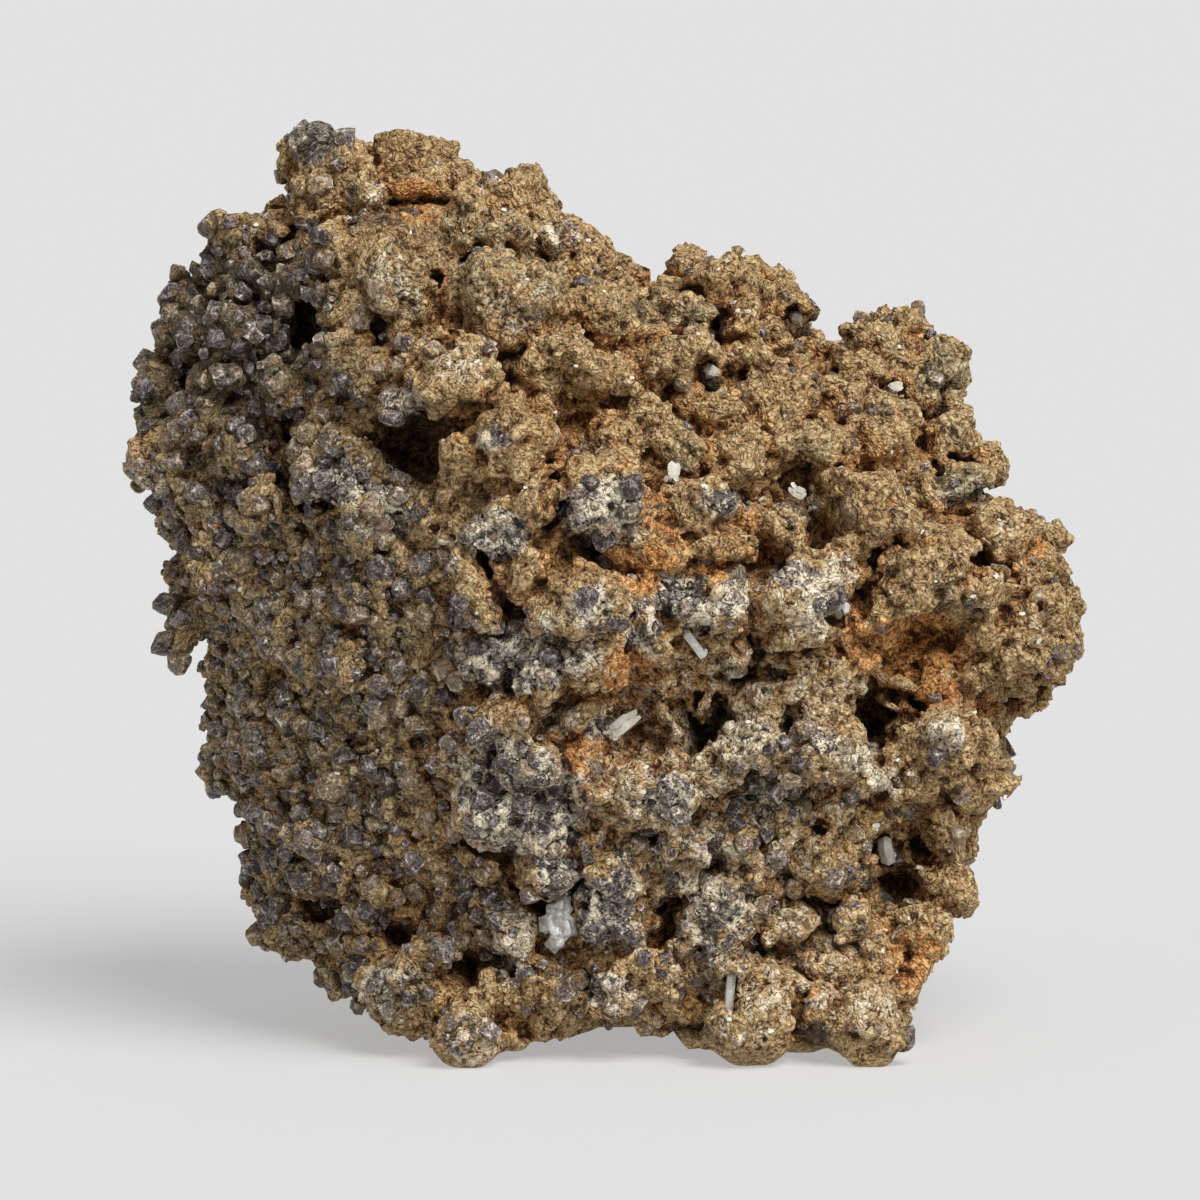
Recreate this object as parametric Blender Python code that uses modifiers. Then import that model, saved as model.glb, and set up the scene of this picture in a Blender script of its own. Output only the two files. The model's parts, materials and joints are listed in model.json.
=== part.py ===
"""A cabinet specimen: a knobbly mass of albite studded with siderite rhombs, with a few quartz and albite crystals.

The mass is shaped in a face frame, u to the right, v up and d away from the eye, and stood up at the end.
"""
import math
import random

import bmesh
import bpy
from mathutils import Euler, Matrix, Vector
from mathutils.bvhtree import BVHTree
from mathutils.kdtree import KDTree

MM = 0.001

# The eye looks a little down on the specimen, from far off, at the middle of its face.
EYE_TILT = math.radians(8.0)
EYE_AWAY = 1.6
EYE_U = -0.001
EYE_V = 0.05775

# Height of the ground above the face frame's origin, and the middle of the whole specimen.
GROUND = 2.7 * MM
MIDDLE_X = -0.2 * MM
MIDDLE_Y = 7.4 * MM

# Cell sizes that the mass is fused at, rough first, and the number of faces it is thinned to.
PLATE_HALF = 3.0 * MM
ROUGH_CELL = 1.6 * MM
FUSED_CELL = 1.05 * MM
MASS_FACES = 5500

# How far in from the outline the mass keeps rounding over, and how thick it is behind.
EDGE_ROUND = 15.0
BACK_DEPTH = 24.0

# Broad lobes of the back, in millimetres: u, v, d, half width, half depth, half height.
BACK_LOBES = (
    (-32, 78, 14, 21, 18, 24), (-10, 46, 17, 24, 17, 26), (22, 54, 15, 25, 17, 22), (27, 27, 12, 14, 16, 18),
    (-25, 26, 10, 14, 16, 18), (10, 82, 18, 17, 15, 13), (33, 76, 15, 10, 13, 11), (2, 18, 14, 20, 18, 15),
    (-26, 99, 8, 14, 13, 12), (-41, 62, 8, 10, 13, 16), (42, 56, 8, 12, 14, 11),
)

# The outline of the face, in millimetres (u, v), clockwise from the knob at the top left.
OUTLINE = (
    (-38, 116.6), (-36, 117.4), (-34, 116.6), (-32, 114.6), (-30, 114.6), (-28, 116), (-25, 115.4),
    (-22, 113.6), (-14.5, 111), (-10, 109.4), (-8.7, 107), (-4, 105), (-1, 103), (1, 99.8), (4, 97.2),
    (6, 97.4), (8, 99), (9.3, 101.2), (14.5, 100.8), (20, 98), (23.2, 95), (24.4, 92.5), (24.8, 88),
    (26.3, 87), (29, 90.4), (31.5, 93), (37.2, 93.8), (39.2, 92.7), (41.2, 89.5), (44.4, 85.3),
    (44.7, 81.8), (44.3, 78), (46.8, 75.6), (47.4, 72), (49, 68.5), (54.2, 66.7), (55.4, 63.2),
    (58.2, 59.5), (57.8, 55), (58, 51), (57.2, 48.8), (54.6, 45.4), (50.4, 43), (50.4, 40),
    (49.4, 35), (47.8, 30), (46.6, 27.4), (44.6, 25), (44.6, 21.5), (43.2, 18.5), (42.6, 14),
    (41, 11.8), (38.4, 9.2), (37, 5), (36.8, 1), (35.4, 0), (30.2, 0), (28.7, 1.6), (23, 1.8),
    (19.5, 0), (16.5, 0.4), (13, 2), (6, 4.6), (0, 4.6), (-10, 2.9), (-15, 0), (-17.5, 0),
    (-22, 3.4), (-28.5, 4.2), (-32, 8), (-35.4, 9.4), (-37.6, 13.9), (-41, 14.8), (-43.4, 17.6),
    (-45.9, 22.8), (-45.6, 30), (-46.1, 34), (-49.3, 35), (-51, 40), (-49.6, 45.4), (-48.2, 47.5),
    (-49, 50.7), (-53.6, 55.2), (-54.2, 62.8), (-56.6, 67.5), (-57.2, 72.3), (-57.7, 78.5),
    (-58.6, 85.4), (-56.2, 87.4), (-55.4, 90.6), (-53, 92), (-53.6, 94.6), (-50.6, 97.4),
    (-50, 101.6), (-48, 103.8), (-43, 106.2), (-40.8, 108), (-39.4, 113),
)

# The blunt upright ridge nearest the eye, in millimetres: height, place across, and how near it stands.
RIDGE = (
    (0, 2, 2), (8, 1, 12), (20, -3, 19), (34, -5, 27), (60, -6, 37), (80, -17, 34), (96, -22, 26),
    (108, -28, 16), (118, -32, 6),
)

# Lumps on the face, in millimetres: u, v, half width, half height.
LUMPS = (
    (-36.4, 115, 3.4, 3.2), (-35, 109.8, 5, 4.4), (-29.3, 108.4, 2.8, 2.8), (-27.4, 113.4, 3.4, 3.4),
    (-22.4, 110.5, 2.6, 2.6), (-26, 102.8, 5.4, 3.4), (-26.6, 97, 4.2, 6.6), (-46.5, 102.4, 4, 3.6),
    (-41.6, 104.2, 4.2, 3.4), (-37.6, 98.4, 3.6, 3.6), (-32.6, 99.6, 3.6, 4.6), (-45.6, 97.8, 4.4, 3.2),
    (-45.4, 91.6, 5.2, 4.2), (-51.4, 95, 3.2, 3.2), (-53, 89.6, 3.6, 3.6), (-33, 88, 3.6, 3.4),
    (-29.4, 86, 2.8, 3.8), (-33.4, 94, 3, 3), (-40.5, 84.4, 4.4, 2.8), (-47.5, 85.4, 3.4, 3),
    (-55.6, 84, 3.4, 3.4), (-50, 81, 3.6, 3.6), (-54, 76.6, 3.4, 3.8), (-46, 76.6, 3.8, 3.4),
    (-19, 86, 6, 4.4), (-25.6, 82.6, 3.4, 2.6), (-17.4, 105.4, 3, 4.8), (-11.4, 108, 3.2, 2.6),
    (-6.2, 103.4, 4, 3.6), (-2.2, 100.4, 3.6, 3.6), (-12.4, 95.8, 7.4, 5.6), (-20.4, 95.4, 2.8, 3.4),
    (-12.4, 103, 3.4, 3), (-3, 94.4, 4.2, 3.8), (-7, 87.4, 5, 3.6), (-13.4, 79.4, 5.2, 4.6),
    (13.4, 97.2, 5, 3.4), (17.4, 93.4, 3, 2.8), (22, 94.4, 2.8, 3), (10.2, 93.4, 3.8, 2.6),
    (3, 91.4, 3.8, 3), (7.4, 86.6, 4.8, 4.2), (0, 85, 3.6, 3.4), (14.8, 81, 4.4, 3.6), (5, 80, 3.2, 3),
    (18.6, 86.6, 4, 3), (21.8, 90, 2.6, 2.6), (22.4, 82, 4, 3.4), (34.4, 90.6, 4, 2.6), (38, 91.4, 2.8, 2.4),
    (32.4, 86.6, 3.2, 2.4), (41.4, 86.4, 3.6, 3.2), (38, 83.6, 2.2, 2), (42.6, 81.6, 2, 2),
    (28.4, 83.4, 3.4, 2.8), (34.4, 81.6, 3.2, 2.4), (26, 76.8, 5, 4), (33.6, 77, 3.8, 3),
    (42.6, 77, 3.8, 3.2), (46, 74.6, 2.4, 2.6), (-17.2, 75, 3.8, 3.6), (-10.8, 73.2, 3.2, 2.8),
    (-10, 69.6, 2.6, 2.4), (-14.2, 66, 4.8, 3.4), (-1.4, 71, 5.8, 5.8), (-0.4, 78, 3.8, 2.8),
    (8.2, 76.4, 3, 3.2), (16, 76, 4, 3.4), (-34, 74, 5.4, 5.6), (-27.6, 67.8, 4.6, 4.2),
    (-35.6, 66.6, 3.6, 3), (-43, 69.8, 3.6, 3.2), (-50.4, 70.4, 4, 3.6), (-37.2, 61.6, 3, 2.8),
    (-30.6, 61.6, 3, 2.8), (-23.6, 62.6, 3.2, 3), (-46.6, 62.6, 3.6, 3.2), (-51.6, 61.4, 2.8, 3.4),
    (-42, 57, 3.2, 3), (-34.6, 56, 3.2, 3), (-26.8, 56.4, 3.2, 3), (-50.4, 54.6, 3, 3.2),
    (-39.8, 52.6, 3.2, 2.8), (-31.6, 50.6, 3.2, 3), (-45.4, 49, 3, 3), (-23.6, 50, 3.4, 3),
    (-38, 44, 3.4, 3.2), (-30.4, 44, 3.6, 3.2), (-47.6, 42.6, 3.2, 3.4), (-46.8, 37, 3.6, 2.8),
    (-22.4, 43, 3.6, 3.4), (-40.6, 37.4, 3.2, 3), (-34.8, 35, 3, 2.8), (-27.4, 36.4, 3.4, 3),
    (-42.6, 30.6, 3.2, 3.2), (-36.6, 28.8, 3.2, 2.8), (-30.6, 29.8, 3, 2.8), (-24.6, 29.6, 3.2, 2.8),
    (-42.2, 24.8, 3, 3), (-36.4, 23.2, 3, 2.8), (-30, 22.4, 3.2, 2.8), (-23.8, 23.4, 3, 2.8),
    (-40.8, 18.4, 3.6, 3), (-31.4, 17.4, 3.4, 3), (-33.4, 11.8, 2.8, 2.6), (-28.4, 8.8, 3.2, 3),
    (-22.4, 9.6, 3.4, 3), (-20.4, 14.4, 2.6, 2.6), (-17.2, 3.4, 4.8, 4.6), (-11.4, 8.6, 3.8, 3.4),
    (-12.4, 16.8, 3.6, 3.4), (-15.6, 25, 2.8, 2.6), (-15.4, 32.4, 4.6, 4.4), (-9.4, 37.6, 4.2, 4),
    (-13.4, 42.6, 3.8, 3.4), (-8.4, 29, 3.6, 3.2), (-17.6, 38.4, 3.2, 3), (-17.2, 60, 2.4, 4.4),
    (-10.4, 61.4, 3, 3.6), (-3, 58, 5, 4.6), (-7.4, 55, 3, 2.4), (-1.2, 50.4, 3, 2.8),
    (-13.6, 51, 4.4, 3), (-8.6, 48.6, 4, 2.8), (4.6, 57, 2.6, 3.2), (12, 56.6, 4.6, 4.6),
    (15, 50.4, 2.6, 3), (6, 51.8, 2.4, 2.2), (10.4, 68.4, 5, 3.4), (6.4, 63.6, 4, 3.2),
    (14, 64.4, 3.8, 2.8), (17.6, 41, 3.6, 4.4), (12.2, 47.4, 2.2, 2), (22.4, 67.6, 3, 2.6),
    (31.6, 70.8, 3.6, 3.2), (44.8, 71, 4.2, 2.8), (36, 67, 3, 2.8), (31.6, 65.6, 3.2, 3),
    (41.8, 63.4, 4.6, 4.2), (37, 60.6, 4.4, 4.2), (47, 58.4, 2.8, 2.8), (29.6, 61.4, 3, 3.4),
    (23.6, 57.4, 5.6, 6.8), (34.4, 57, 3.4, 2.8), (49.8, 64.8, 4, 3.6), (54.8, 61.2, 3.2, 3.6),
    (53.2, 54.4, 5.2, 7.6), (24.8, 47, 3, 2.8), (29, 46.2, 2.8, 2.6), (20.4, 46, 2.4, 2.4),
    (42.6, 40.2, 5.6, 4.8), (27, 40, 4.2, 3.8), (33, 37, 3.4, 3), (22.4, 38.4, 2.8, 3),
    (37.6, 35.4, 2.6, 2.4), (45.4, 34.4, 3, 3.4), (3, 33.6, 3.4, 2.8), (7.6, 33.2, 3, 2.8),
    (12.8, 34.6, 3.6, 3.2), (-1.8, 36.2, 2.4, 2.4), (22.6, 31, 3.4, 2.4), (29.4, 31.4, 3, 2.4),
    (8.2, 27.2, 3.4, 2.6), (14.6, 27, 3.2, 2.6), (2.4, 24.6, 3, 2.6), (9, 21.6, 3, 2.6),
    (15, 21.4, 3, 2.8), (21.4, 24.6, 3.2, 3), (27.6, 25, 3.4, 3), (0, 18.4, 3.6, 5), (13.4, 16.4, 3.2, 3),
    (21, 17.6, 3.4, 3.2), (28.6, 18.6, 3, 2.8), (33.4, 14.8, 2.6, 2.6), (28.4, 12.8, 2.8, 2.6),
    (41.6, 22.4, 3.6, 3.8), (43, 29.6, 3.2, 3), (38.6, 14, 3.8, 4), (32.6, 4.4, 3.8, 5.4),
    (26.4, 6.4, 2.4, 2.4), (17.4, 3.8, 5.2, 4.8), (6.8, 11.6, 3, 2.4), (0, 8.4, 3.2, 2.8), (22.4, 11.6, 3, 2.8),
    (7.4, 6.6, 3.2, 2.4), (-5.4, 7.6, 3.2, 2.8),
)

# How far a lump's middle lies under the skin, as a share of its half depth.
LUMP_SUNK = 0.12

# Hollows and crevices in the face, in millimetres: u, v, half width, half height, depth.
HOLLOWS = (
    (-24, 77, 6, 4, 11), (34.4, 43.6, 4.4, 2.9, 12), (12.3, 41.6, 2, 5, 9), (-7.4, 71, 1.1, 4, 7),
    (-39, 79.6, 1.8, 1.8, 7), (-39.6, 71, 1.6, 2.8, 7), (-38, 92.6, 2.4, 3, 7), (-45.6, 95.2, 1.7, 0.9, 5),
    (-38, 107.2, 1.5, 1.2, 5), (-21.6, 95, 1.1, 3.8, 5), (-21, 90.4, 1.9, 1.5, 6), (-19, 101, 1.6, 1.4, 5),
    (-3, 79.8, 2.6, 1.3, 6), (11.7, 84, 1.4, 1.3, 5), (14.2, 92.6, 1.4, 1.3, 5), (23.4, 73, 2.2, 2, 7),
    (-2, 65, 2.4, 1.3, 5), (-13.4, 60.4, 1.3, 3.2, 6), (18.4, 62.4, 1.3, 3, 6), (31.8, 58, 1.1, 2, 6),
    (46.3, 62.4, 1.1, 2.8, 7), (37.4, 51.6, 5, 3, 5), (34.5, 26.4, 2.1, 1.8, 8), (36.2, 21.8, 2.2, 2, 9),
    (-36.2, 19.6, 2.2, 2.2, 8), (-25.7, 16.2, 1.9, 1.6, 6), (-18.8, 11, 2.2, 1.6, 6), (-4, 21, 1.4, 3.4, 7),
    (6, 17.4, 1.5, 2.6, 6), (3.6, 42, 4, 4.4, 4.5), (18, 48.6, 4.4, 0.9, 6), (16.6, 52.2, 1.2, 1.2, 5),
    (-31.4, 40.2, 1.3, 0.9, 4), (25.6, 3.4, 1.8, 1.4, 6), (39.4, 26.4, 1.4, 2, 5), (20.6, 70.6, 1.4, 1.4, 5),
    (-34, 105, 1.5, 1.1, 4), (-26.4, 106.6, 2.6, 1, 5), (26.2, 66.8, 1.3, 2.6, 5), (41.4, 53.4, 3, 2, 5),
)

# Siderite rhombs that stand out of the face, in millimetres: u, v, half size.
SIDERITE = (
    (-31.6, 93, 2), (-50, 99.4, 1.6), (-25.4, 90, 1.7), (-52.3, 92, 1.6), (-41.2, 84.6, 1.7),
    (-37.2, 83.6, 1.7), (-44, 81.4, 1.6), (-53.6, 82, 1.8), (-58, 84.4, 1.7), (-33.2, 84, 1.6),
    (-56, 72, 1.9), (-51, 74.6, 1.5), (-47.4, 72, 1.4), (-43.2, 69.6, 1.5), (-44.2, 75, 1.8),
    (-37, 61.8, 1.9), (-33, 62.4, 1.5), (-28.4, 62, 1.7), (-23.4, 62, 1.6), (-20.2, 63.2, 1.4),
    (-23.6, 68.4, 1.5), (-26, 59.2, 1.6), (-51.4, 63.6, 1.5), (-36, 58.4, 1.4), (-31.4, 55.8, 1.5),
    (-48.2, 54.2, 1.4), (-43, 54.4, 1.4), (-36.6, 54, 1.5), (-41.4, 51, 1.4), (-29, 51.2, 1.5),
    (-48.6, 42, 1.5), (-44.6, 40.6, 1.5), (-46.4, 37.6, 1.4), (-35, 34.8, 2.1), (-33, 38.4, 1.5),
    (-38.4, 33.6, 1.4), (-30.2, 37, 1.4), (-29, 31.8, 1.4), (-25, 35.4, 1.6), (-21.2, 34.6, 1.5),
    (-44, 31, 1.5), (-42, 25.4, 1.8), (-36, 28.8, 1.6), (-32, 28.2, 1.7), (-38.2, 23, 1.7),
    (-34.6, 23, 1.4), (-29.6, 22.2, 1.6), (-26, 24.2, 1.5), (-33, 17.6, 1.6), (-29.8, 18.8, 1.8),
    (-22.6, 30.4, 1.5), (-20.4, 14, 1.8), (-31.4, 12.2, 1.4), (-8.6, 93.6, 1.8), (17, 83.4, 1.5),
    (33.4, 81.4, 1.4), (22.2, 68, 2), (36, 67.4, 1.7), (14.4, 69.8, 1.6), (-3.6, 68.4, 1.8),
    (2.4, 68.6, 1.6), (-13.8, 78.4, 1.5), (9, 57.8, 1.8), (15.6, 58, 2), (23, 61, 1.5), (45.5, 57.6, 1.4),
    (26.6, 40, 2), (7.4, 33.4, 1.9), (-1.8, 36.4, 1.7), (22.6, 30.8, 1.7), (36.6, 31.2, 1.6),
    (13.8, 27.4, 1.8), (7, 27.6, 1.5), (8, 22.4, 1.8), (15.4, 15.6, 1.8), (12.4, 18.6, 1.7),
    (6.7, 12, 1.6), (1, 7.2, 1.8), (33.4, 15, 1.6), (31.6, 24, 1.5), (-1.4, 9.4, 1.6), (-6.4, 23, 1.7),
    (42.4, 34, 1.4), (-48.4, 85.8, 1.5), (-47, 59.4, 1.4), (-38.4, 74.4, 1.5),
)

# The crystals that are pieces of their own, in millimetres and degrees.
# Six-sided quartz prisms: node, u, v, radius, length, lean in the face, lean towards the eye.
QUARTZ_PRISMS = (
    ("quartz_prism_low", 15.2, 8.2, 0.62, 5.4, 4, 8),
    ("quartz_prism_mid", 10.9, 52.2, 0.60, 3.8, -38, 15),
    ("quartz_point_top", 12.6, 86.0, 0.98, 2.8, 20, 62),
    ("quartz_point_hollow", 34.8, 26.4, 1.05, 3.2, -18, 48),
    ("quartz_point_right", 23.6, 92.8, 0.80, 2.4, -30, 60),
    ("quartz_point_edge", 29.0, 56.3, 0.95, 2.6, 35, 50),
)
# Flat albite blades: node, u, v, half length, half width, half thickness, turn in the face.
ALBITE_BLADES = (
    ("albite_blade", 2.0, 42.3, 2.3, 1.05, 0.55, 33),
    ("albite_tablet_top", 8.2, 74.0, 1.05, 0.85, 0.45, 82),
    ("albite_tablet_mid", 23.8, 71.2, 1.0, 0.8, 0.45, -25),
    ("albite_tablet_right", 36.0, 84.4, 0.9, 0.7, 0.4, 15),
)
# The pale quartz cluster: place of the group, then rhombs at du, dv, half size.
CLUSTER_PLACE = (-6.2, 17.2)
CLUSTER = ((0, 1.5, 1.7), (-1.1, 0.1, 1.5), (0.9, -0.5, 1.6), (-0.3, -2.1, 1.5), (0.6, 2.9, 1.1))
POCKET_GAP = 0.32 * MM
ROOT = 0.35

# Lumps and rhombs over the sides and back, where the face's own lists don't reach.
BACK_SEED = 11
BACK_LUMPS = 260
BACK_LUMP_SIZE = (2.6, 5.6)
BACK_RHOMBS = 26
BACK_RHOMB_SIZE = (1.5, 2.3)
BACK_HOLLOWS = 12
BACK_HOLLOW_SIZE = (1.8, 3.6)

# Feet behind, in millimetres: u, d, half width. With the front rim they carry the specimen.
FEET = ((-20, 17, 9), (2, 24, 10), (24, 18, 9))
FEET_HEIGHT = 11.5

CLAY_ALBITE = (0.36, 0.26, 0.15, 1.0)
CLEAR_QUARTZ = (0.86, 0.86, 0.83, 1.0)
PALE_ALBITE = (0.72, 0.67, 0.58, 1.0)


def material(name, colour, roughness):
    """One plain material."""
    made = bpy.data.materials.new(name)
    made.use_nodes = True
    shader = made.node_tree.nodes["Principled BSDF"]
    shader.inputs["Base Color"].default_value = colour
    shader.inputs["Roughness"].default_value = roughness
    shader.inputs["Metallic"].default_value = 0.0
    return made


def piece(name, bm, collection, stuff=None):
    """A named object from a bmesh, which is freed."""
    mesh = bpy.data.meshes.new(name)
    bm.to_mesh(mesh)
    bm.free()
    made = bpy.data.objects.new(name, mesh)
    collection.objects.link(made)
    if stuff:
        mesh.materials.append(stuff)
    return made


def settle(obj):
    """Applies an object's modifiers, so that its mesh is what they made."""
    graph = bpy.context.evaluated_depsgraph_get()
    made = bpy.data.meshes.new_from_object(obj.evaluated_get(graph))
    obj.modifiers.clear()
    obj.data = made
    return obj


def fuse(obj, cell):
    """Makes one skin of overlapping shapes, with faces of about one size."""
    fusing = obj.modifiers.new("fuse", "REMESH")
    fusing.mode = "VOXEL"
    fusing.voxel_size = cell
    return settle(obj)


def blend(low, high, value):
    """0 below low, 1 above high, and a smooth rise between."""
    t = min(max((value - low) / (high - low), 0.0), 1.0)
    return t * t * (3 - 2 * t)


def ridge_at(v):
    """The ridge's place across and its nearness, in millimetres, at a height."""
    for (v0, u0, near0), (v1, u1, near1) in zip(RIDGE, RIDGE[1:]):
        if v <= v1:
            t = min(max((v - v0) / (v1 - v0), 0.0), 1.0)
            return u0 + t * (u1 - u0), near0 + t * (near1 - near0)
    return RIDGE[-1][1:]


def plate(collection):
    """The face's outline as a thin flat plate, standing up."""
    curve = bpy.data.curves.new("outline", "CURVE")
    curve.dimensions = "2D"
    curve.fill_mode = "BOTH"
    curve.extrude = PLATE_HALF
    spline = curve.splines.new("POLY")
    spline.points.add(len(OUTLINE) - 1)
    for point, (u, v) in zip(spline.points, OUTLINE):
        point.co = (u * MM, v * MM, 0, 1)
    spline.use_cyclic_u = True
    drawn = bpy.data.objects.new("outline", curve)
    collection.objects.link(drawn)
    graph = bpy.context.evaluated_depsgraph_get()
    mesh = bpy.data.meshes.new_from_object(drawn.evaluated_get(graph))
    bpy.data.objects.remove(drawn)
    bm = bmesh.new()
    bm.from_mesh(mesh)
    bmesh.ops.remove_doubles(bm, verts=bm.verts, dist=1e-6)
    bmesh.ops.rotate(bm, verts=bm.verts, cent=(0, 0, 0), matrix=Matrix.Rotation(math.pi / 2, 3, "X"))
    bmesh.ops.recalc_face_normals(bm, faces=bm.faces)
    return piece("matrix", bm, collection)


def outline_tree():
    """Finds how far inside the outline a point of the face lies."""
    steps = 12
    points = []
    for (u0, v0), (u1, v1) in zip(OUTLINE, OUTLINE[1:] + OUTLINE[:1]):
        points += [(u0 + (u1 - u0) * k / steps, v0 + (v1 - v0) * k / steps) for k in range(steps)]
    tree = KDTree(len(points))
    for index, (u, v) in enumerate(points):
        tree.insert((u, 0, v), index)
    tree.balance()
    return tree


def swell(mass):
    """Swells the plate into the mass: a wedge towards the eye, and a rounder back."""
    tree = outline_tree()
    for vertex in mass.data.vertices:
        u, v = vertex.co.x / MM, vertex.co.z / MM
        rim = tree.find((u, 0, v))[2]
        rounding = math.sqrt(1 - (1 - min(rim / EDGE_ROUND, 1)) ** 2)
        ridge_u, near = ridge_at(v)
        off = abs(u - ridge_u) / (ridge_u + 58 if u < ridge_u else 59 - ridge_u)
        front = near * (1 - 0.72 * min(off, 1) ** 1.15)
        front = max(front, 9)
        middle = 13 * blend(62, 100, v) * blend(-14, 26, u) - 14 * (1 - blend(0, 20, v))
        behind = BACK_DEPTH * (1 - 0.45 * blend(72, 118, v)) * (1 - 0.22 * (abs(u) / 58) ** 2)
        side = min(max(vertex.co.y / PLATE_HALF, -1), 1)
        deep = middle + (side * rounding * (front if side < 0 else behind))
        vertex.co.y = deep * MM
    bm = bmesh.new()
    bm.from_mesh(mass.data)
    for u, v, d, wide, deep, tall in BACK_LOBES:
        ball(bm, Vector((u, d, v)) * MM, (wide * MM, deep * MM, tall * MM), Matrix.Identity(3), 3)
    bm.to_mesh(mass.data)
    bm.free()
    return fuse(mass, ROUGH_CELL)


def face_finder(obj):
    """Gives a function that finds the surface at a place of the face, with its normal."""
    mesh = obj.data
    tree = BVHTree.FromPolygons([v.co for v in mesh.vertices], [p.vertices for p in mesh.polygons])

    def at(u, v):
        place, normal = tree.ray_cast(Vector((u * MM, -0.2, v * MM)), Vector((0, 1, 0)))[:2]
        if place is None:
            place, normal = tree.find_nearest(Vector((u * MM, 0, v * MM)))[:2]
        return place, normal

    return at


def ball(bm, centre, half, turn, level=2):
    """Adds a ball with half sizes along its own axes."""
    made = bmesh.ops.create_icosphere(bm, subdivisions=level, radius=1)["verts"]
    sized = Matrix.Diagonal((*half, 1))
    bmesh.ops.transform(bm, matrix=Matrix.Translation(centre) @ turn.to_4x4() @ sized, verts=made)


def add_lumps(mass, dice):
    """Grows the lumps of the face, and the like of them over the sides and back."""
    at = face_finder(mass)
    bm = bmesh.new()
    bm.from_mesh(mass.data)
    for u, v, wide, tall in LUMPS:
        place, normal = at(u, v)
        deep = min(wide, tall)
        turn = Euler((0, math.radians(dice.uniform(-18, 18)), 0)).to_matrix()
        ball(bm, place - normal * LUMP_SUNK * deep * MM, (wide * MM, deep * MM, tall * MM), turn)
    tree = outline_tree()
    behind = [p for p in mass.data.polygons if p.normal.y > -0.15 and p.center.z > 6 * MM]
    for face in dice.sample(behind, BACK_LUMPS):
        rim = tree.find((face.center.x / MM, 0, face.center.z / MM))[2]
        size = min(dice.uniform(*BACK_LUMP_SIZE), 1.2 + 0.8 * rim) * MM
        half = (size, size * dice.uniform(0.7, 1.1), size * dice.uniform(0.7, 1.1))
        turn = Euler([dice.uniform(0, math.tau) for _ in range(3)]).to_matrix()
        ball(bm, face.center - face.normal * 0.28 * size, half, turn)
    for u, d, wide in FEET:
        half = (wide * MM, wide * MM, FEET_HEIGHT * MM)
        ball(bm, Vector((u * MM, d * MM, (FEET_HEIGHT + 3) * MM)), half, Matrix.Identity(3))
    bm.to_mesh(mass.data)
    bm.free()
    return fuse(mass, FUSED_CELL)


def sink_hollows(mass, dice):
    """Presses the hollows and crevices into the mass."""
    at = face_finder(mass)
    hollows = [(at(u, v)[0], Vector((0, 1, 0)), wide, tall, deep) for u, v, wide, tall, deep in HOLLOWS]
    behind = [p for p in mass.data.polygons if p.normal.y > 0.2 and p.center.z > 18 * MM]
    for face in dice.sample(behind, BACK_HOLLOWS):
        wide = dice.uniform(*BACK_HOLLOW_SIZE)
        hollows.append((face.center.copy(), -face.normal.normalized(), wide, wide * 0.8, wide * 1.6))
    for place, inwards, wide, tall, deep in hollows:
        across = inwards.cross(Vector((0, 0, 1))).normalized()
        upright = across.cross(inwards)
        for vertex in mass.data.vertices:
            off = vertex.co - place
            if abs(off.dot(inwards)) > (deep + 4) * MM:
                continue
            reach = (off.dot(across) / (wide * MM)) ** 2 + (off.dot(upright) / (tall * MM)) ** 2
            if reach < 1.6:
                vertex.co += inwards * deep * MM * (1 - reach / 1.6) ** 0.5
    return fuse(mass, FUSED_CELL)


def thin_out(mass):
    """Thins the skin's faces to what the lumps need."""
    mass.data.calc_loop_triangles()
    thinning = mass.modifiers.new("thin", "DECIMATE")
    thinning.ratio = MASS_FACES / len(mass.data.loop_triangles)
    return settle(mass)


def rhomb(bm, centre, size, turn):
    """Adds a rhombohedron: a cube pressed a little along its own diagonal."""
    made = bmesh.ops.create_cube(bm, size=2 * size / math.sqrt(2))["verts"]
    corner = Vector((1, 1, 1)).normalized()
    bmesh.ops.transform(bm, matrix=Matrix.Scale(0.78, 4, corner), verts=made)
    bmesh.ops.transform(bm, matrix=Matrix.Translation(centre) @ turn.to_4x4(), verts=made)


def grow_rhombs(mass, dice, helpers):
    """Joins the siderite rhombs to the mass, each corner leaning out of the skin."""
    at = face_finder(mass)
    seats = [(*at(u, v), size) for u, v, size in SIDERITE]
    behind = [p for p in mass.data.polygons if p.normal.y > 0.1 and p.center.z > 14 * MM]
    for face in dice.sample(behind, BACK_RHOMBS):
        seats.append((face.center.copy(), face.normal.copy(), dice.uniform(*BACK_RHOMB_SIZE)))
    group = bpy.data.collections.new("rhombs")
    helpers.children.link(group)
    corner = Vector((1, 1, 1))
    for index, (place, normal, size) in enumerate(seats):
        lean = Euler([dice.uniform(-0.7, 0.7) for _ in range(3)]).to_matrix()
        turn = lean @ corner.rotation_difference(normal).to_matrix()
        bm = bmesh.new()
        rhomb(bm, place + normal * 0.1 * size * MM, size * MM, turn)
        hide(piece(f"rhomb_{index}", bm, group))
    joining = mass.modifiers.new("rhombs", "BOOLEAN")
    joining.operation = "UNION"
    joining.operand_type = "COLLECTION"
    joining.collection = group
    return settle(mass)


def hide(obj):
    """Marks a cutter or helper, which is no part of the specimen."""
    obj.hide_render = True
    obj.display_type = "WIRE"


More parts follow.
